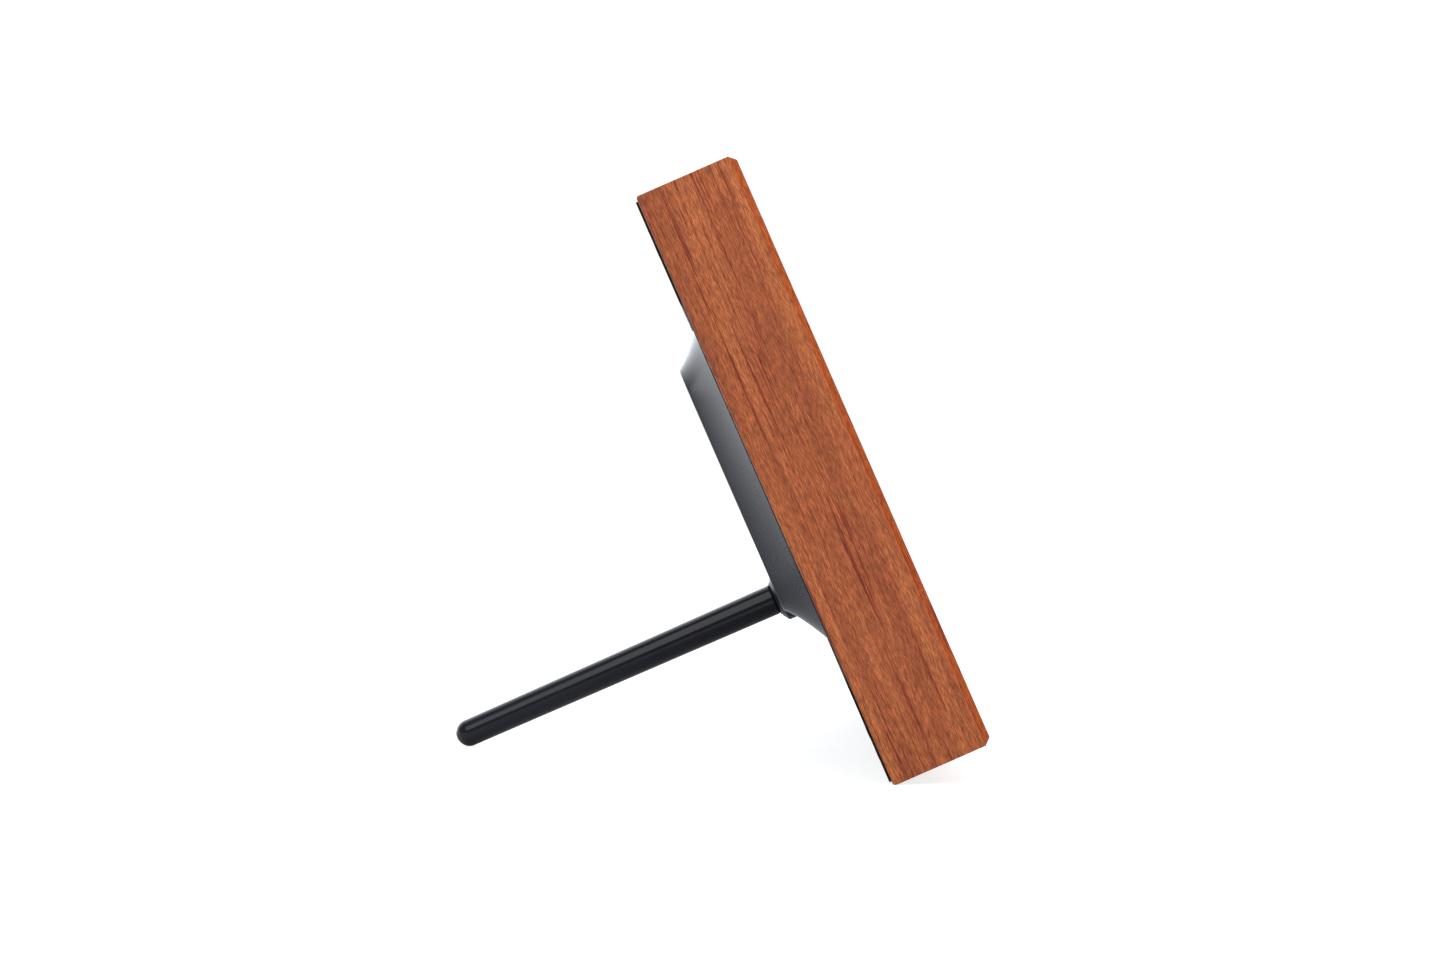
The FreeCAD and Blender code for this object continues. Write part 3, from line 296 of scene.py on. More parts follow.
def cherry(name, shift, light, middle, dark, streak, gloss=0.35):
    """Lacquered cherry veneer with its grain along the piece's own X.

    Every pattern is a noise stretched along the grain; its scale is given as waves a metre
    along the grain, then across it twice.
    """
    wood = Shader(name, IOR=1.45, Coat_Weight=gloss / 4, Coat_Roughness=0.3,
                  Specular_IOR_Level=gloss)
    broad = wood.noise(wood.mapped((4, 75, 75), shift), 1.0, 3.0, 0.5, 0.3)
    bands = wood.noise(wood.mapped((10, 240, 240), shift), 1.0, 4.0, 0.6, 0.5)
    drift = wood.math("ADD", wood.range(broad, 0.3, 0.7, 0.0, 0.5),
                      wood.range(bands, 0.3, 0.7, 0.0, 0.5))
    toned = wood.ramp(drift, [(0.12, dark), (0.5, middle), (0.88, light)])
    # thin dark red growth streaks, 40 mm long and 1 mm apart, that come and go in clusters
    streaks = wood.noise(wood.mapped((26, 1050, 1050), shift), 1.0, 3.0, 0.55, 0.7)
    clusters = wood.noise(wood.mapped((7, 110, 110), shift), 1.0, 2.0)
    streak_mask = wood.math("MULTIPLY", wood.range(streaks, 0.55, 0.64, 0.0, 0.9),
                            wood.range(clusters, 0.40, 0.56, 0.15, 1.0))
    toned = wood.mix("MIX", streak_mask, toned, streak)
    # golden flecks between them
    flecks = wood.noise(wood.mapped((48, 800, 800), shift), 1.0, 3.0, 0.6)
    toned = wood.mix("MIX", wood.range(flecks, 0.54, 0.74, 0.0, 0.35), toned, light)
    # soft grain, then fibres, then short pores
    grain = wood.noise(wood.mapped((110, 1400, 1400), shift), 1.0, 3.0, 0.6)
    toned = wood.mix("MULTIPLY", 1.0, toned, wood.ramp(grain, [(0.32, 0.91), (0.68, 1.08)]))
    fibres = wood.noise(wood.mapped((420, 3900, 3900), shift), 1.0, 3.0, 0.6)
    toned = wood.mix("MULTIPLY", 1.0, toned, wood.ramp(fibres, [(0.34, 0.52), (0.66, 1.48)]))
    pores = wood.noise(wood.mapped((330, 3600, 3600), shift), 1.0, 2.0, 0.6)
    pore_mask = wood.range(pores, 0.55, 0.66, 0.0, 0.6)
    toned = wood.mix("MULTIPLY", pore_mask, toned, (0.55, 0.38, 0.32))
    wood.set("Base Color", toned)
    wood.set("Roughness", wood.range(fibres, 0.3, 0.7, 0.52, 0.38))
    wood.bump(fibres, 0.25, 0.00006)
    wood.bump(wood.math("MULTIPLY", pore_mask, -1.0), 0.4, 0.00008)
    return wood.material


def moulded(name, colour, roughness, grain=2600.0, depth=0.00003, strength=0.35, smudge=0.06,
            **constants):
    """Moulded plastic with a fine spark-eroded texture and slight unevenness of sheen."""
    plastic = Shader(name, **constants)
    patches = plastic.noise(plastic.mapped((18, 18, 18)), 1.0, 3.0)
    low, high = (tuple(c * k for c in colour) for k in (0.92, 1.08))
    plastic.set("Base Color", plastic.ramp(patches, [(0.35, low), (0.65, high)]))
    texture = plastic.noise(plastic.mapped((grain,) * 3), 1.0, 2.0, 0.5)
    uneven = plastic.math("ADD", plastic.range(patches, 0.3, 0.7, -smudge, smudge), roughness)
    plastic.set("Roughness", plastic.math(
        "ADD", uneven, plastic.range(texture, 0.3, 0.7, -0.03, 0.03)))
    plastic.bump(texture, strength, depth)
    return plastic.material


def metal(name, colour, roughness, brush=(400, 4000, 4000), **constants):
    """Drawn or plated metal with fine lines and a faint cloudiness."""
    steel = Shader(name, Metallic=1.0, **constants)
    lines = steel.noise(steel.mapped(brush), 1.0, 3.0, 0.6)
    clouds = steel.noise(steel.mapped((60, 60, 60)), 1.0, 3.0)
    low, high = (tuple(c * k for c in colour) for k in (0.85, 1.05))
    steel.set("Base Color", steel.ramp(clouds, [(0.3, low), (0.7, high)]))
    steel.set("Roughness", steel.range(lines, 0.3, 0.7, roughness - 0.07, roughness + 0.09))
    steel.bump(lines, 0.2, 0.00002)
    return steel.material


# ------------------------------------------------------------------ the materials
LIGHT, MIDDLE, DARK = srgb(208, 121, 69), srgb(182, 97, 56), srgb(156, 80, 48)
STREAK = srgb(132, 46, 32)
EDGE_LIGHT, EDGE_MIDDLE, EDGE_DARK = srgb(194, 101, 52), srgb(176, 83, 38), srgb(150, 63, 31)

housing_plastic = moulded("housing_plastic", srgb(58, 61, 70), 0.27, grain=3600,
                          strength=0.12)
panel_plastic = moulded("panel_plastic", srgb(12, 12, 13), 0.6, grain=1500, depth=0.00005,
                        Specular_IOR_Level=0.3)
socket_plastic = moulded("socket_plastic", srgb(34, 35, 41), 0.3, grain=3600, strength=0.15)
button_plastic = moulded("button_plastic", srgb(34, 34, 38), 0.38, grain=4000)
port_plastic = moulded("port_plastic", srgb(24, 24, 26), 0.45, grain=4000)
leg_paint = moulded("leg_paint", srgb(30, 31, 41), 0.14, grain=2400, depth=0.00002, strength=0.12,
                    smudge=0.04, Coat_Weight=0.1, Coat_Roughness=0.05,
                    Specular_IOR_Level=0.36)
rubber = moulded("rubber", srgb(20, 20, 21), 0.8, grain=3000)
foam = moulded("foam", srgb(30, 30, 31), 0.95, grain=1200, depth=0.0002, strength=0.8)
mat_card = moulded("mat_card", srgb(232, 227, 214), 0.85, grain=1800, depth=0.00006, strength=0.5)
cone_paper = moulded("cone_paper", srgb(40, 40, 42), 0.9, grain=1500, depth=0.0001)
chip_epoxy = moulded("chip_epoxy", srgb(30, 30, 32), 0.5, grain=3500)
film_amber = moulded("film_amber", srgb(176, 110, 36), 0.3, grain=900)
film_white = moulded("film_white", srgb(236, 237, 240), 0.4, grain=900)
plated = metal("plated_steel", (0.56, 0.57, 0.58), 0.34)
screw_steel = metal("screw_steel", (0.5, 0.51, 0.53), 0.3)
black_steel = metal("black_steel", (0.035, 0.035, 0.04), 0.38)
tin = metal("tinned_sheet", (0.72, 0.72, 0.71), 0.3)
brass = metal("turned_brass", (0.72, 0.50, 0.20), 0.26)
aluminium = metal("anodised_aluminium", (0.76, 0.77, 0.79), 0.38)
board_mask = moulded("board_mask", srgb(22, 92, 50), 0.32, grain=700, Coat_Weight=0.5)

glass = Shader("front_glass", Transmission_Weight=1.0, IOR=1.45, Alpha=1.0).material
glass_shader = glass.node_tree.nodes["Principled BSDF"]
glass_shader.inputs["Base Color"].default_value = (0.98, 1.0, 0.99, 1.0)
glass_shader.inputs["Roughness"].default_value = 0.0

screen = Shader("screen_off", Roughness=0.22, IOR=1.5, Coat_Weight=0.3, Coat_Roughness=0.1)
bloom = screen.noise(screen.mapped((9, 9, 9)), 1.0, 2.0)
screen.set("Base Color", screen.ramp(bloom, [(0.3, srgb(14, 15, 18)), (0.7, srgb(20, 22, 27))]))


# ------------------------------------------------------------------ wooden rails

def rail_profile():
    """The rail's section as (y, inward) with its rounded edges, counted round the outside."""
    out_side = math.degrees(math.atan2(EDGE_IN, EDGE_RUN))
    points = arc((-EDGE_ROUND, EDGE_ROUND), EDGE_ROUND, 0, -90, 6)
    pull = SIDE_ROUND * math.tan(math.radians(out_side) / 2)
    points += arc((-DEEP + EDGE_RUN + pull, SIDE_ROUND), SIDE_ROUND, -90, -90 - out_side, 3)
    rise = 90 - out_side
    pull = EDGE_ROUND * math.tan(math.radians(rise) / 2)
    points += arc((-DEEP + EDGE_ROUND, EDGE_IN + pull), EDGE_ROUND, -90 - out_side, -180, 5)
    points += arc((-DEEP + INNER_ROUND, FACE - INNER_ROUND), INNER_ROUND, 180, 90, 4)
    points += [(LIP_BACK, FACE), (LIP_BACK, WALL), (LEDGE, WALL), (LEDGE, WALL / 2),
               (-PANEL_SEAT, WALL / 2), (-PANEL_SEAT, PANEL_SIDE)]
    points += arc((-BACK_ROUND, PANEL_SIDE + BACK_ROUND), BACK_ROUND, 270, 360, 2)
    return points


PROFILE = rail_profile()
JOINT = 0.00004  # half the hairline between two mitres


def make_rail(name, length, place, shift):
    """One mitred rail, in its own axes: X along it, Z from the outer face inwards."""
    hair = 1e-5

    def build(bm):
        ends = []
        for side in (-1, 1):
            ring = [bm.verts.new((side * (length / 2 - inward - JOINT), y, inward))
                    for y, inward in PROFILE]
            ends.append(ring)
            bm.faces.new(ring)
        skin(bm, ends)
        for face in bm.faces:
            middle = face.calc_center_median()
            in_depth = -DEEP + hair < middle.y < -DEEP + EDGE_RUN
            on_chamfer = in_depth and middle.z < EDGE_IN + INNER_ROUND
            face.material_index = 1 if on_chamfer and abs(face.normal.x) < 0.5 else 0
    side_wood = cherry(f"{name}_veneer", shift, LIGHT, MIDDLE, DARK, STREAK)
    edge_wood = cherry(f"{name}_chamfer", shift, EDGE_LIGHT, EDGE_MIDDLE, EDGE_DARK, STREAK,
                       gloss=0.08)
    return new_piece(f"{name}_look", build, place=place, replaces=(name,),
                     material=(side_wood, edge_wood), sharp=25)


def rail_place(x, z, degrees):
    return Matrix.Translation((x, 0, z)) @ Matrix.Rotation(math.radians(degrees), 4, "Y")


make_rail("frame_rail_bottom", WIDE, rail_place(0, 0, 0), (3.1, 0.4, 7.7))
make_rail("frame_rail_top", WIDE, rail_place(0, HIGH, 180), (11.3, 5.9, 2.2))
make_rail("frame_rail_left", HIGH, rail_place(-WIDE / 2, HIGH / 2, 90), (5.7, 9.1, 4.3))
make_rail("frame_rail_right", HIGH, rail_place(WIDE / 2, HIGH / 2, -90), (8.2, 1.6, 12.5))

# ------------------------------------------------------------------ cutting shapes

def add_box(bm, x, y, z):
    """A box between pairs of low and high places."""
    sides = bmesh.ops.create_cube(bm, size=1.0)["verts"]
    for vert in sides:
        vert.co = Vector(((x[0] + x[1]) / 2 + vert.co.x * (x[1] - x[0]),
                          (y[0] + y[1]) / 2 + vert.co.y * (y[1] - y[0]),
                          (z[0] + z[1]) / 2 + vert.co.z * (z[1] - z[0])))


def add_rod(bm, radius, y, x, z, segments=48):
    """A cylinder from front to back."""
    revolve(bm, [(0, y[0]), (radius, y[0]), (radius, y[1]), (0, y[1])], segments, (x, z))


def add_rod_across(bm, radius, x, y, z, segments=40):
    """A cylinder along the picture's width."""
    turned = Matrix.Translation(((x[0] + x[1]) / 2, y, z)) @ Matrix.Rotation(math.pi / 2, 4, "Y")
    bmesh.ops.create_cone(bm, cap_ends=True, segments=segments, radius1=radius, radius2=radius,
                          depth=x[1] - x[0], matrix=turned)


def solid(name, mesh_maker):
    """A loose closed mesh to cut with."""
    mesh = bpy.data.meshes.new(name)
    bm = bmesh.new()
    mesh_maker(bm)
    bmesh.ops.recalc_face_normals(bm, faces=bm.faces)
    bm.to_mesh(mesh)
    bm.free()
    thing = bpy.data.objects.new(name, mesh)
    bpy.context.scene.collection.objects.link(thing)
    return thing


def carve(body, *tools):
    """Cuts the tools out of a loose body and uses the tools up."""
    for tool in tools:
        cutting = body.modifiers.new("cut", "BOOLEAN")
        cutting.operation = "DIFFERENCE"
        cutting.solver = "EXACT"
        cutting.use_self = True
        cutting.object = tool
        bpy.context.view_layer.update()
        graph = bpy.context.evaluated_depsgraph_get()
        result = bpy.data.meshes.new_from_object(body.evaluated_get(graph))
        body.modifiers.clear()
        body.data = result
        bpy.data.objects.remove(tool)
    return body


def finished(body):
    """Takes a loose body's mesh for a piece and removes the body."""
    mesh = body.data
    bpy.data.objects.remove(body)

    def build(bm):
        bm.from_mesh(mesh)
        bmesh.ops.remove_doubles(bm, verts=bm.verts, dist=1e-6)
    return build


def ease_edges(piece, width, segments=2, degrees=35):
    """Small rounds on the piece's sharp edges, made when it is drawn."""
    rounds = piece.modifiers.new("rounds", "BEVEL")
    rounds.width = width
    rounds.segments = segments
    rounds.limit_method = "ANGLE"
    rounds.angle_limit = math.radians(degrees)
    rounds.use_clamp_overlap = True
    rounds.harden_normals = False
    return piece


# ------------------------------------------------------------------ rear housing
# FOOT_ is where the coves start on the panel, RUN_ how far they lean in up to the crest
FOOT_X, FOOT_LOW, FOOT_TOP = 0.085, 0.0433, 0.151
RUN_X, RUN_LOW, RUN_TOP = 0.013, 0.0143, 0.0097
SAG, FOOT_CORNER, CORNER_DROP = 0.35, 0.024, 0.012
CREST_ROUND = 0.0014
HOUSING_WALL, HOUSING_TRIM = 0.002, 0.0006
BAY_FLOOR, BAY_LOW, BAY_TOP = 0.070, 0.0687, 0.1313
BAY_REACH = 0.003  # how far the bay's walls reach in front of the panel
PORT_WALL = (0.066, 0.0705)
PORT_BOTTOM = PANEL_FACE
USB_TOP, USB_SPAN = 0.00745, (0.0815, 0.0965)
CARD_TOP, CARD_SPAN = 0.00405, (0.09925, 0.12875)
JACK_RADIUS, JACK_DEPTH, JACK_HEIGHT = 0.00315, 0.0032, 0.0755
VENTS, VENT_FIRST, VENT_STEP, VENT_HALF, VENT_SPAN = 8, -0.056, 0.0045, 0.0009, (0.082, 0.108)
ROOF = 0.0066
HOLE_GAP = 0.0001
RISE = CREST - PANEL_FACE
BUTTONS = {"power_button": -0.022, "volume_down_button": -0.008, "volume_up_button": 0.006}
BUTTON_ROW, BUTTON_RADIUS = 0.120, 0.0036
COLLAR_RADIUS, COLLAR_FACE = 0.0085, 0.0111
INSERT_RADIUS, INSERT_LOW, INSERT_TOP = 0.0046, 0.0020, 0.0105
WASHER_SEAT, WASHER_THICK = 0.0058, 0.001
SOCKET_X, SOCKET_LOW, SOCKET_TOP, SOCKET_THICK = 0.017, 0.0045, 0.006, 0.0022
SOCKET_SCREW, SOCKET_SCREW_X, SOCKET_SCREW_UP = 0.0009, 0.013, 0.0007


def cove_ring(share, y, trim=0.0):
    """The housing's outline at a share of its height."""
    inward = share * (1 + SAG) - share * share * SAG
    return rounded_ring(
        -FOOT_X + trim + RUN_X * inward, FOOT_X - trim - RUN_X * inward,
        FOOT_LOW + trim + RUN_LOW * inward, FOOT_TOP - trim - RUN_TOP * inward,
        FOOT_CORNER - trim - CORNER_DROP * inward, y)


def capped(bm, outlines):
    """A closed solid through outlines of as many points."""
    rings = [[bm.verts.new(point) for point in outline] for outline in outlines]
    skin(bm, rings)
    bm.faces.new(rings[0])
    bm.faces.new(rings[-1])


def housing_outside(bm):
    """The coved sides up to where the crest's round begins, then the round."""
    cove_steps, round_steps, start = 24, 6, 45
    begins, spread, drop = 0.45, 0.9, 1.54  # the round's start, width and height, in its radius
    last = 1 - CREST_ROUND * begins / RISE
    outlines = [cove_ring(last * step / cove_steps, PANEL_FACE + last * step / cove_steps * RISE)
                for step in range(cove_steps + 1)]
    for step in range(1, round_steps + 1):
        angle = math.radians(start + (90 - start) * step / round_steps)
        trim = CREST_ROUND * (math.cos(math.radians(start)) - math.cos(angle)) * spread
        y = CREST - CREST_ROUND * drop * (1 - math.sin(angle))
        outlines.append(cove_ring(last, y, trim))
    capped(bm, outlines)


def housing_inside(bm):
    """The hollow, one wall inside the coves."""
    steps = 12
    first = HOUSING_WALL / RISE
    shares = [first + (1 - first) * step / steps for step in range(steps + 1)]
    outlines = [cove_ring(first, PANEL_FACE - PAST, HOUSING_TRIM)]
    outlines += [cove_ring(share, PANEL_FACE + share * RISE - HOUSING_WALL, HOUSING_TRIM)
                 for share in shares]
    capped(bm, outlines)


def bay_walls(bm):
    """The block that the port bay is sunk into."""
    add_box(bm, (BAY_FLOOR - HOUSING_WALL, FOOT_X + PAST), (-BAY_REACH, CREST + PAST),
            (BAY_LOW - HOUSING_WALL, BAY_TOP + HOUSING_WALL))


def housing_openings(bm):
    """The port bay, the ports' own holes, the vents, the buttons and the leg's collar."""
    add_box(bm, (BAY_FLOOR, FOOT_X + PAST), (-PAST, CREST + PAST), (BAY_LOW, BAY_TOP))
    add_box(bm, PORT_WALL, (PORT_BOTTOM, USB_TOP), USB_SPAN)
    add_box(bm, PORT_WALL, (PORT_BOTTOM, CARD_TOP), CARD_SPAN)
    add_rod_across(bm, JACK_RADIUS, PORT_WALL, JACK_DEPTH, JACK_HEIGHT)
    for index in range(VENTS):
        middle = VENT_FIRST + VENT_STEP * index
        add_box(bm, (middle - VENT_HALF, middle + VENT_HALF), (ROOF, CREST + PAST), VENT_SPAN)
    for x in BUTTONS.values():
        add_rod(bm, BUTTON_RADIUS + HOLE_GAP, (ROOF, CREST + PAST), x, BUTTON_ROW)
    add_rod(bm, COLLAR_RADIUS + HOLE_GAP, (-PAST / 2, COLLAR_FACE + PAST), 0, LEG_HEIGHT, 72)


def make_housing():
    """The shell with its hollow, its bay and its openings cut."""
    hollow = carve(solid("hollow", housing_inside), solid("bay_block", bay_walls))
    shell = carve(solid("shell", housing_outside), hollow, solid("openings", housing_openings))
    piece = new_piece("rear_housing_look", finished(shell),
                      replaces=("rear_housing",), material=housing_plastic, sharp=38)
    ease_edges(piece, 0.0002, 2, 50)


make_housing()


def make_button(name, x):
    """A round button with a softly dished face and a rounded rim."""
    flange, flange_low, flange_top = BUTTON_RADIUS + 0.001, 0.0068, 0.00755
    stem, stem_low = 0.0014, 0.0045
    face, rim, dish, dish_steps = CREST + 0.0004, 0.0004, 0.00025, 8

    def build(bm):
        profile = [(0, flange_low), (flange, flange_low), (flange, flange_top),
                   (BUTTON_RADIUS, flange_top)]
        profile += arc((BUTTON_RADIUS - rim, face - rim), rim, 0, 90, 5)
        for step in range(1, dish_steps):
            share = 1 - step / dish_steps
            profile.append(((BUTTON_RADIUS - rim) * share, face - dish * (1 - share * share)))
        profile.append((0, face - dish))
        revolve(bm, profile, 64, (x, BUTTON_ROW))
        revolve(bm, [(0, stem_low), (stem, stem_low), (stem, flange_low), (0, flange_low)], 24,
                (x, BUTTON_ROW))
    new_piece(f"{name}_look", build, body=name, replaces=(name,),
              material=button_plastic, sharp=40)


for button, across in BUTTONS.items():
    make_button(button, across)


# ------------------------------------------------------------------ leg

def leg_shape(bm):
    """The tapering leg: a small round at its root, a ball at its tip."""
    tip_y = (LEG_HEIGHT * math.cos(LEAN) + corner.z - LEG_TIP_RADIUS) / math.sin(LEAN)
    stud, rim, straight = 0.003, 0.0006, 24
    profile = [(stud, LEG_ROOT), (LEG_ROOT_RADIUS - rim, LEG_ROOT)]
    profile += arc((LEG_ROOT_RADIUS - rim, LEG_ROOT + rim), rim, -75, 0, 5)
    for step in range(1, straight):
        share = step / straight
        profile.append((LEG_ROOT_RADIUS + (LEG_TIP_RADIUS - LEG_ROOT_RADIUS) * share,
                        LEG_ROOT + rim + (tip_y - LEG_ROOT - rim) * share))
    profile += arc((0, tip_y), LEG_TIP_RADIUS, 0, 90, 16)[:-1]
    profile.append((0, tip_y + LEG_TIP_RADIUS))
    revolve(bm, profile, 96, (0, LEG_HEIGHT))


new_piece("leg_rod_look", leg_shape, body="leg", replaces=("leg_rod",),
          material=leg_paint, sharp=40)


def washer_shape(bm):
    """A rubber washer with rounded edges."""
    inner, outer, rim = 0.0033, 0.0057, 0.00025
    low, high = LEG_ROOT - WASHER_THICK, LEG_ROOT
    profile = [(inner, low), (outer - rim, low)]
    profile += arc((outer - rim, low + rim), rim, -75, 0, 4)
    profile += arc((outer - rim, high - rim), rim, 0, 90, 4)
    profile += [(inner, high), (inner, low)]
    revolve(bm, profile, 72, (0, LEG_HEIGHT))
    bmesh.ops.remove_doubles(bm, verts=bm.verts, dist=1e-6)


new_piece("leg_washer_look", washer_shape, body="washer",
          replaces=("leg_washer",), material=rubber, sharp=40)


def collar_shape(bm):
    """The leg's collar: a tube with a sloping rim round the washer, and its bore."""
    bore, lip, shoulder, rise, slope, slope_from = 0.0034, 0.00035, 0.0007, 0.0001, 50, 0.0091
    profile = [(bore, PANEL_FACE), (COLLAR_RADIUS, PANEL_FACE), (COLLAR_RADIUS, slope_from)]
    profile += arc((COLLAR_RADIUS - shoulder, slope_from + rise), shoulder, 0, slope, 4)
    profile += arc((WASHER_SEAT + lip, COLLAR_FACE - lip), lip, slope, 180, 6)
    profile += [(WASHER_SEAT, INSERT_TOP), (INSERT_RADIUS, INSERT_TOP),
                (INSERT_RADIUS, INSERT_LOW), (bore, INSERT_LOW), (bore, PANEL_FACE)]
    revolve(bm, profile, 96, (0, LEG_HEIGHT))
    bmesh.ops.remove_doubles(bm, verts=bm.verts, dist=1e-6)


def socket_foot(bm):
    """The bar that screws the collar to the inside of the housing."""
    add_box(bm, (-SOCKET_X, SOCKET_X), (PANEL_FACE, PANEL_FACE + SOCKET_THICK),
            (LEG_HEIGHT - SOCKET_LOW, LEG_HEIGHT + SOCKET_TOP))


def socket_foot_holes(bm):
    """Room for the collar and for the two screws."""
    ends = (PANEL_FACE - PAST, PANEL_FACE + SOCKET_THICK + PAST)
    add_rod(bm, COLLAR_RADIUS - HOLE_GAP, ends, 0, LEG_HEIGHT, 96)
    for side in (-1, 1):
        add_rod(bm, SOCKET_SCREW, ends, side * SOCKET_SCREW_X, LEG_HEIGHT + SOCKET_SCREW_UP, 24)


def make_socket():
    foot = finished(carve(solid("foot", socket_foot), solid("holes", socket_foot_holes)))

    def build(bm):
        foot(bm)
        collar_shape(bm)
    new_piece("leg_socket_look", build, replaces=("leg_socket",),
              material=socket_plastic, sharp=40)


make_socket()

# ------------------------------------------------------------------ back panel and its screws
refined("back_panel", panel_plastic, 0.00015, 2)
for part, skin_material in (("usb_socket", tin), ("card_slot", tin), ("dc_jack", port_plastic),
                            ("keyhole_plate_left", plated), ("keyhole_plate_right", plated),
                            ("mat_board", mat_card)):
    refined(part, skin_material, 0.0001, 2)


SCREW_END, SCREW_NECK, SCREW_SHANK, SCREW_HEAD = -0.0083, -0.0005, 0.0013, 0.0024
SCREW_FLARE, HEAD_ROUND, CROSS_ARM, CROSS_HALF, CROSS_LOW = 0.00055, 0.0021, 0.0013, 0.00028, -0.0004


def panel_screw_places():
    """The eight countersunk screws round the edge of the back panel."""
    side_x, end_x, end_z, side_z = 0.1319, 0.068, 0.0041, 0.0172
    for x_sign in (-1, 1):
        for high in (False, True):
            yield x_sign * side_x, (HIGH - side_z if high else side_z)
            yield x_sign * end_x, (HIGH - end_z if high else end_z)


def screw_heads(bm):
    """The screws, each with a slightly domed head."""
    for x, z in panel_screw_places():
        revolve(bm, [(0, SCREW_END), (SCREW_SHANK, SCREW_END), (SCREW_SHANK, SCREW_NECK),
                     (SCREW_HEAD, SCREW_FLARE), (SCREW_HEAD, BAND_FACE - 0.0001),
                     (HEAD_ROUND, BAND_FACE + 0.00003), (SCREW_HEAD / 2, BAND_FACE + 0.00008),
                     (0, BAND_FACE + 0.0001)], 36, (x, z))


def screw_recesses(bm):
    """A cross recess in every head, each turned its own way."""
    arm, half, depth = (-CROSS_ARM, CROSS_ARM), (-CROSS_HALF, CROSS_HALF), (CROSS_LOW, 2 * PAST)
    for index, (x, z) in enumerate(panel_screw_places()):
        before = set(bm.verts)
        add_box(bm, arm, depth, half)
        add_box(bm, half, depth, arm)
        spin = Matrix.Translation((x, 0, z)) @ Matrix.Rotation(0.37 + 1.91 * index, 4, "Y")
        bmesh.ops.transform(bm, matrix=spin, verts=[v for v in bm.verts if v not in before])


heads = carve(solid("heads", screw_heads), solid("recesses", screw_recesses))
new_piece("back_panel_screws_look", finished(heads),
          replaces=("back_panel_screws",), material=black_steel, sharp=35)

# ------------------------------------------------------------------ CAD parts that stay
SLOT_LOOKS = {
    "black_plastic": panel_plastic, "clear_glass": glass, "screen_glass": screen.material,
    "diffuser": film_white, "reflector": film_white, "foam": foam, "rubber": rubber,
    "plated_steel": plated, "screw_steel": screw_steel, "insert_brass": brass,
    "board_green": board_mask, "chip_black": chip_epoxy, "shield_metal": tin,
    "sink_aluminium": aluminium, "port_plastic": port_plastic, "ribbon_film": film_amber,
    "wire_black": rubber, "speaker_plastic": port_plastic, "speaker_cone": cone_paper,
    "magnet": plated}

for entry in frame["record"]["subparts"]:
    if entry["material_slot"] in SLOT_LOOKS:
        kept = frame["nodes"][entry["node"]]
        kept.data.materials.clear()
        kept.data.materials.append(SLOT_LOOKS[entry["material_slot"]])


# ------------------------------------------------------------------ floor, light and camera

FLOOR_SIZE, FLOOR_GREY, FLOOR_SEEN = 8, 0.5, 0.78


def make_floor():
    """White paper under the object."""
    bpy.ops.mesh.primitive_plane_add(size=FLOOR_SIZE, location=(0, 0, 0))
    floor = bpy.context.object
    floor.name = "floor"
    paper = Shader("floor_paper", Roughness=0.9, Specular_IOR_Level=0.1)
    paper.bsdf.inputs["Base Color"].default_value = (FLOOR_GREY,) * 3 + (1,)
    paper.bsdf.inputs["Emission Color"].default_value = (1, 1, 1, 1)
    # the sweep is lit from behind the object, so what it mirrors is brighter on the far side
    split = paper.tree.nodes.new("ShaderNodeSeparateXYZ")
    paper.link(paper.coords, split.inputs["Vector"])
    mirrored = paper.math("MULTIPLY", paper.range(split.outputs["X"], -0.09, 0.16, 0.03, 1.8),
                          paper.range(split.outputs["Y"], 0.08, 0.26, 0.15, 1.0))
    seen = paper.tree.nodes.new("ShaderNodeLightPath").outputs["Is Camera Ray"]
    towards = paper.math("MULTIPLY", paper.math("SUBTRACT", 1.0, seen), mirrored)
    paper.set("Emission Strength",
              paper.math("ADD", towards, paper.math("MULTIPLY", seen, FLOOR_SEEN)))
    floor.data.materials.append(paper.material)


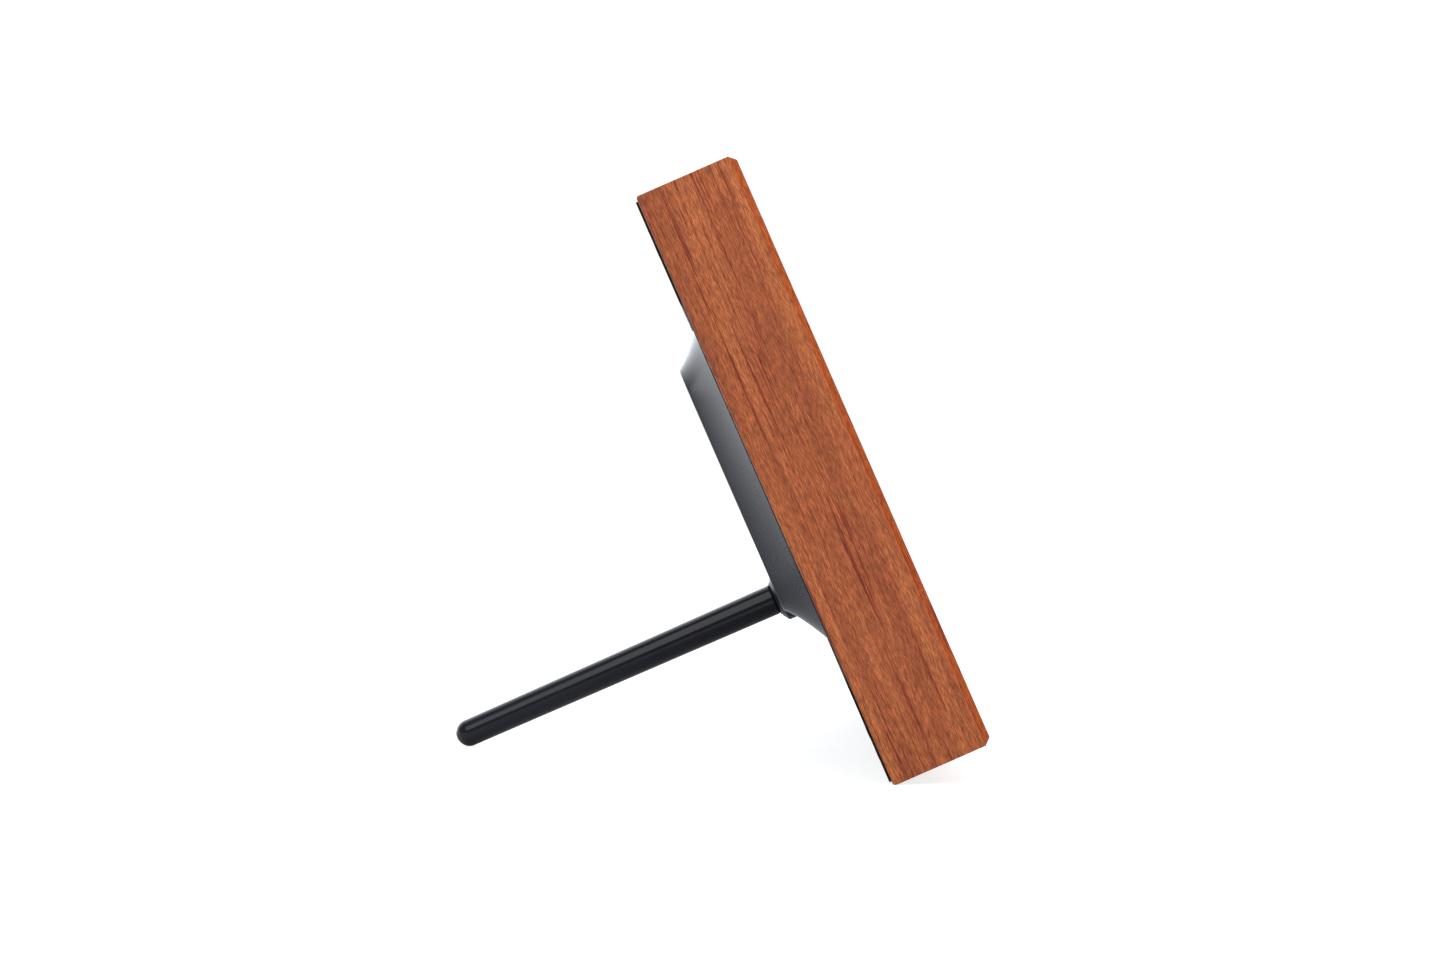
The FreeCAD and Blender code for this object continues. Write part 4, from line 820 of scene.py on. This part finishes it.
def make_world():
    """A white sweep behind and above the object, and a dim room on the camera's side."""
    world = bpy.data.worlds.new("studio")
    bpy.context.scene.world = world
    world.use_nodes = True
    tree = world.node_tree
    around = tree.nodes.new("ShaderNodeTexCoord")
    split = tree.nodes.new("ShaderNodeSeparateXYZ")
    tree.links.new(around.outputs["Generated"], split.inputs["Vector"])
    parts = []
    for axis, low, high, most in (("X", 0.03, 0.95, 3.0), ("Z", 0.3, 0.9, 0.15)):
        fade = tree.nodes.new("ShaderNodeMapRange")
        fade.inputs["From Min"].default_value = low
        fade.inputs["From Max"].default_value = high
        fade.inputs["To Min"].default_value = 0.11
        fade.inputs["To Max"].default_value = most
        tree.links.new(split.outputs[axis], fade.inputs["Value"])
        parts.append(fade.outputs["Result"])
    total = tree.nodes.new("ShaderNodeMath")
    total.operation = "ADD"
    tree.links.new(parts[0], total.inputs[0])
    tree.links.new(parts[1], total.inputs[1])
    room = tree.nodes["Background"]
    room.inputs["Color"].default_value = (0.9, 0.94, 1.0, 1)
    tree.links.new(total.outputs["Value"], room.inputs["Strength"])
    white = tree.nodes.new("ShaderNodeBackground")
    white.inputs["Color"].default_value = (1, 1, 1, 1)
    white.inputs["Strength"].default_value = 1.1
    seen = tree.nodes.new("ShaderNodeLightPath")
    both = tree.nodes.new("ShaderNodeMixShader")
    tree.links.new(seen.outputs["Is Camera Ray"], both.inputs["Fac"])
    tree.links.new(room.outputs["Background"], both.inputs[1])
    tree.links.new(white.outputs["Background"], both.inputs[2])
    tree.links.new(both.outputs["Shader"], tree.nodes["World Output"].inputs["Surface"])


def softbox(name, size, spot, aim, watts):
    """A rectangular lamp at a spot, turned towards its aim."""
    data = bpy.data.lights.new(name, "AREA")
    data.shape = "RECTANGLE"
    data.size, data.size_y = size
    data.energy = watts
    lamp = bpy.data.objects.new(name, data)
    lamp.location = spot
    lamp.rotation_mode = "QUATERNION"
    lamp.rotation_quaternion = (Vector(aim) - Vector(spot)).to_track_quat("-Z", "Y")
    bpy.context.scene.collection.objects.link(lamp)


LENS, SENSOR, LENS_SHIFT = 77.4, 36, -0.0257
EYE_AWAY, EYE_ALONG, EYE_UP = 0.9175, 0.0396, 0.0897


def make_camera():
    """The camera looks level along +X, square to the side of the frame."""
    lens = bpy.data.cameras.new("camera")
    lens.lens = LENS
    lens.sensor_width = SENSOR
    lens.shift_x = LENS_SHIFT
    eye = bpy.data.objects.new("camera", lens)
    eye.location = (-WIDE / 2 - EYE_AWAY, corner.y + EYE_ALONG, EYE_UP)
    eye.rotation_euler = (math.radians(90), 0, math.radians(-90))
    bpy.context.scene.collection.objects.link(eye)
    bpy.context.scene.camera = eye


for piece in made:
    even_normals(piece)

make_floor()
make_world()
softbox("key_box", (2.0, 2.0), (-1.5, 0.2, 1.6), (0, 0, 0.1), 19)
softbox("strip_box", (0.08, 1.2), (-0.42, -0.2, 0.8), (0, 0, 0.05), 2.4)
softbox("front_box", (0.9, 0.9), (-0.6, -1.0, 0.6), (0, 0, 0.1), 2.2)
make_camera()
bpy.context.scene.view_settings.view_transform = "Standard"
bpy.context.scene.view_settings.look = "None"
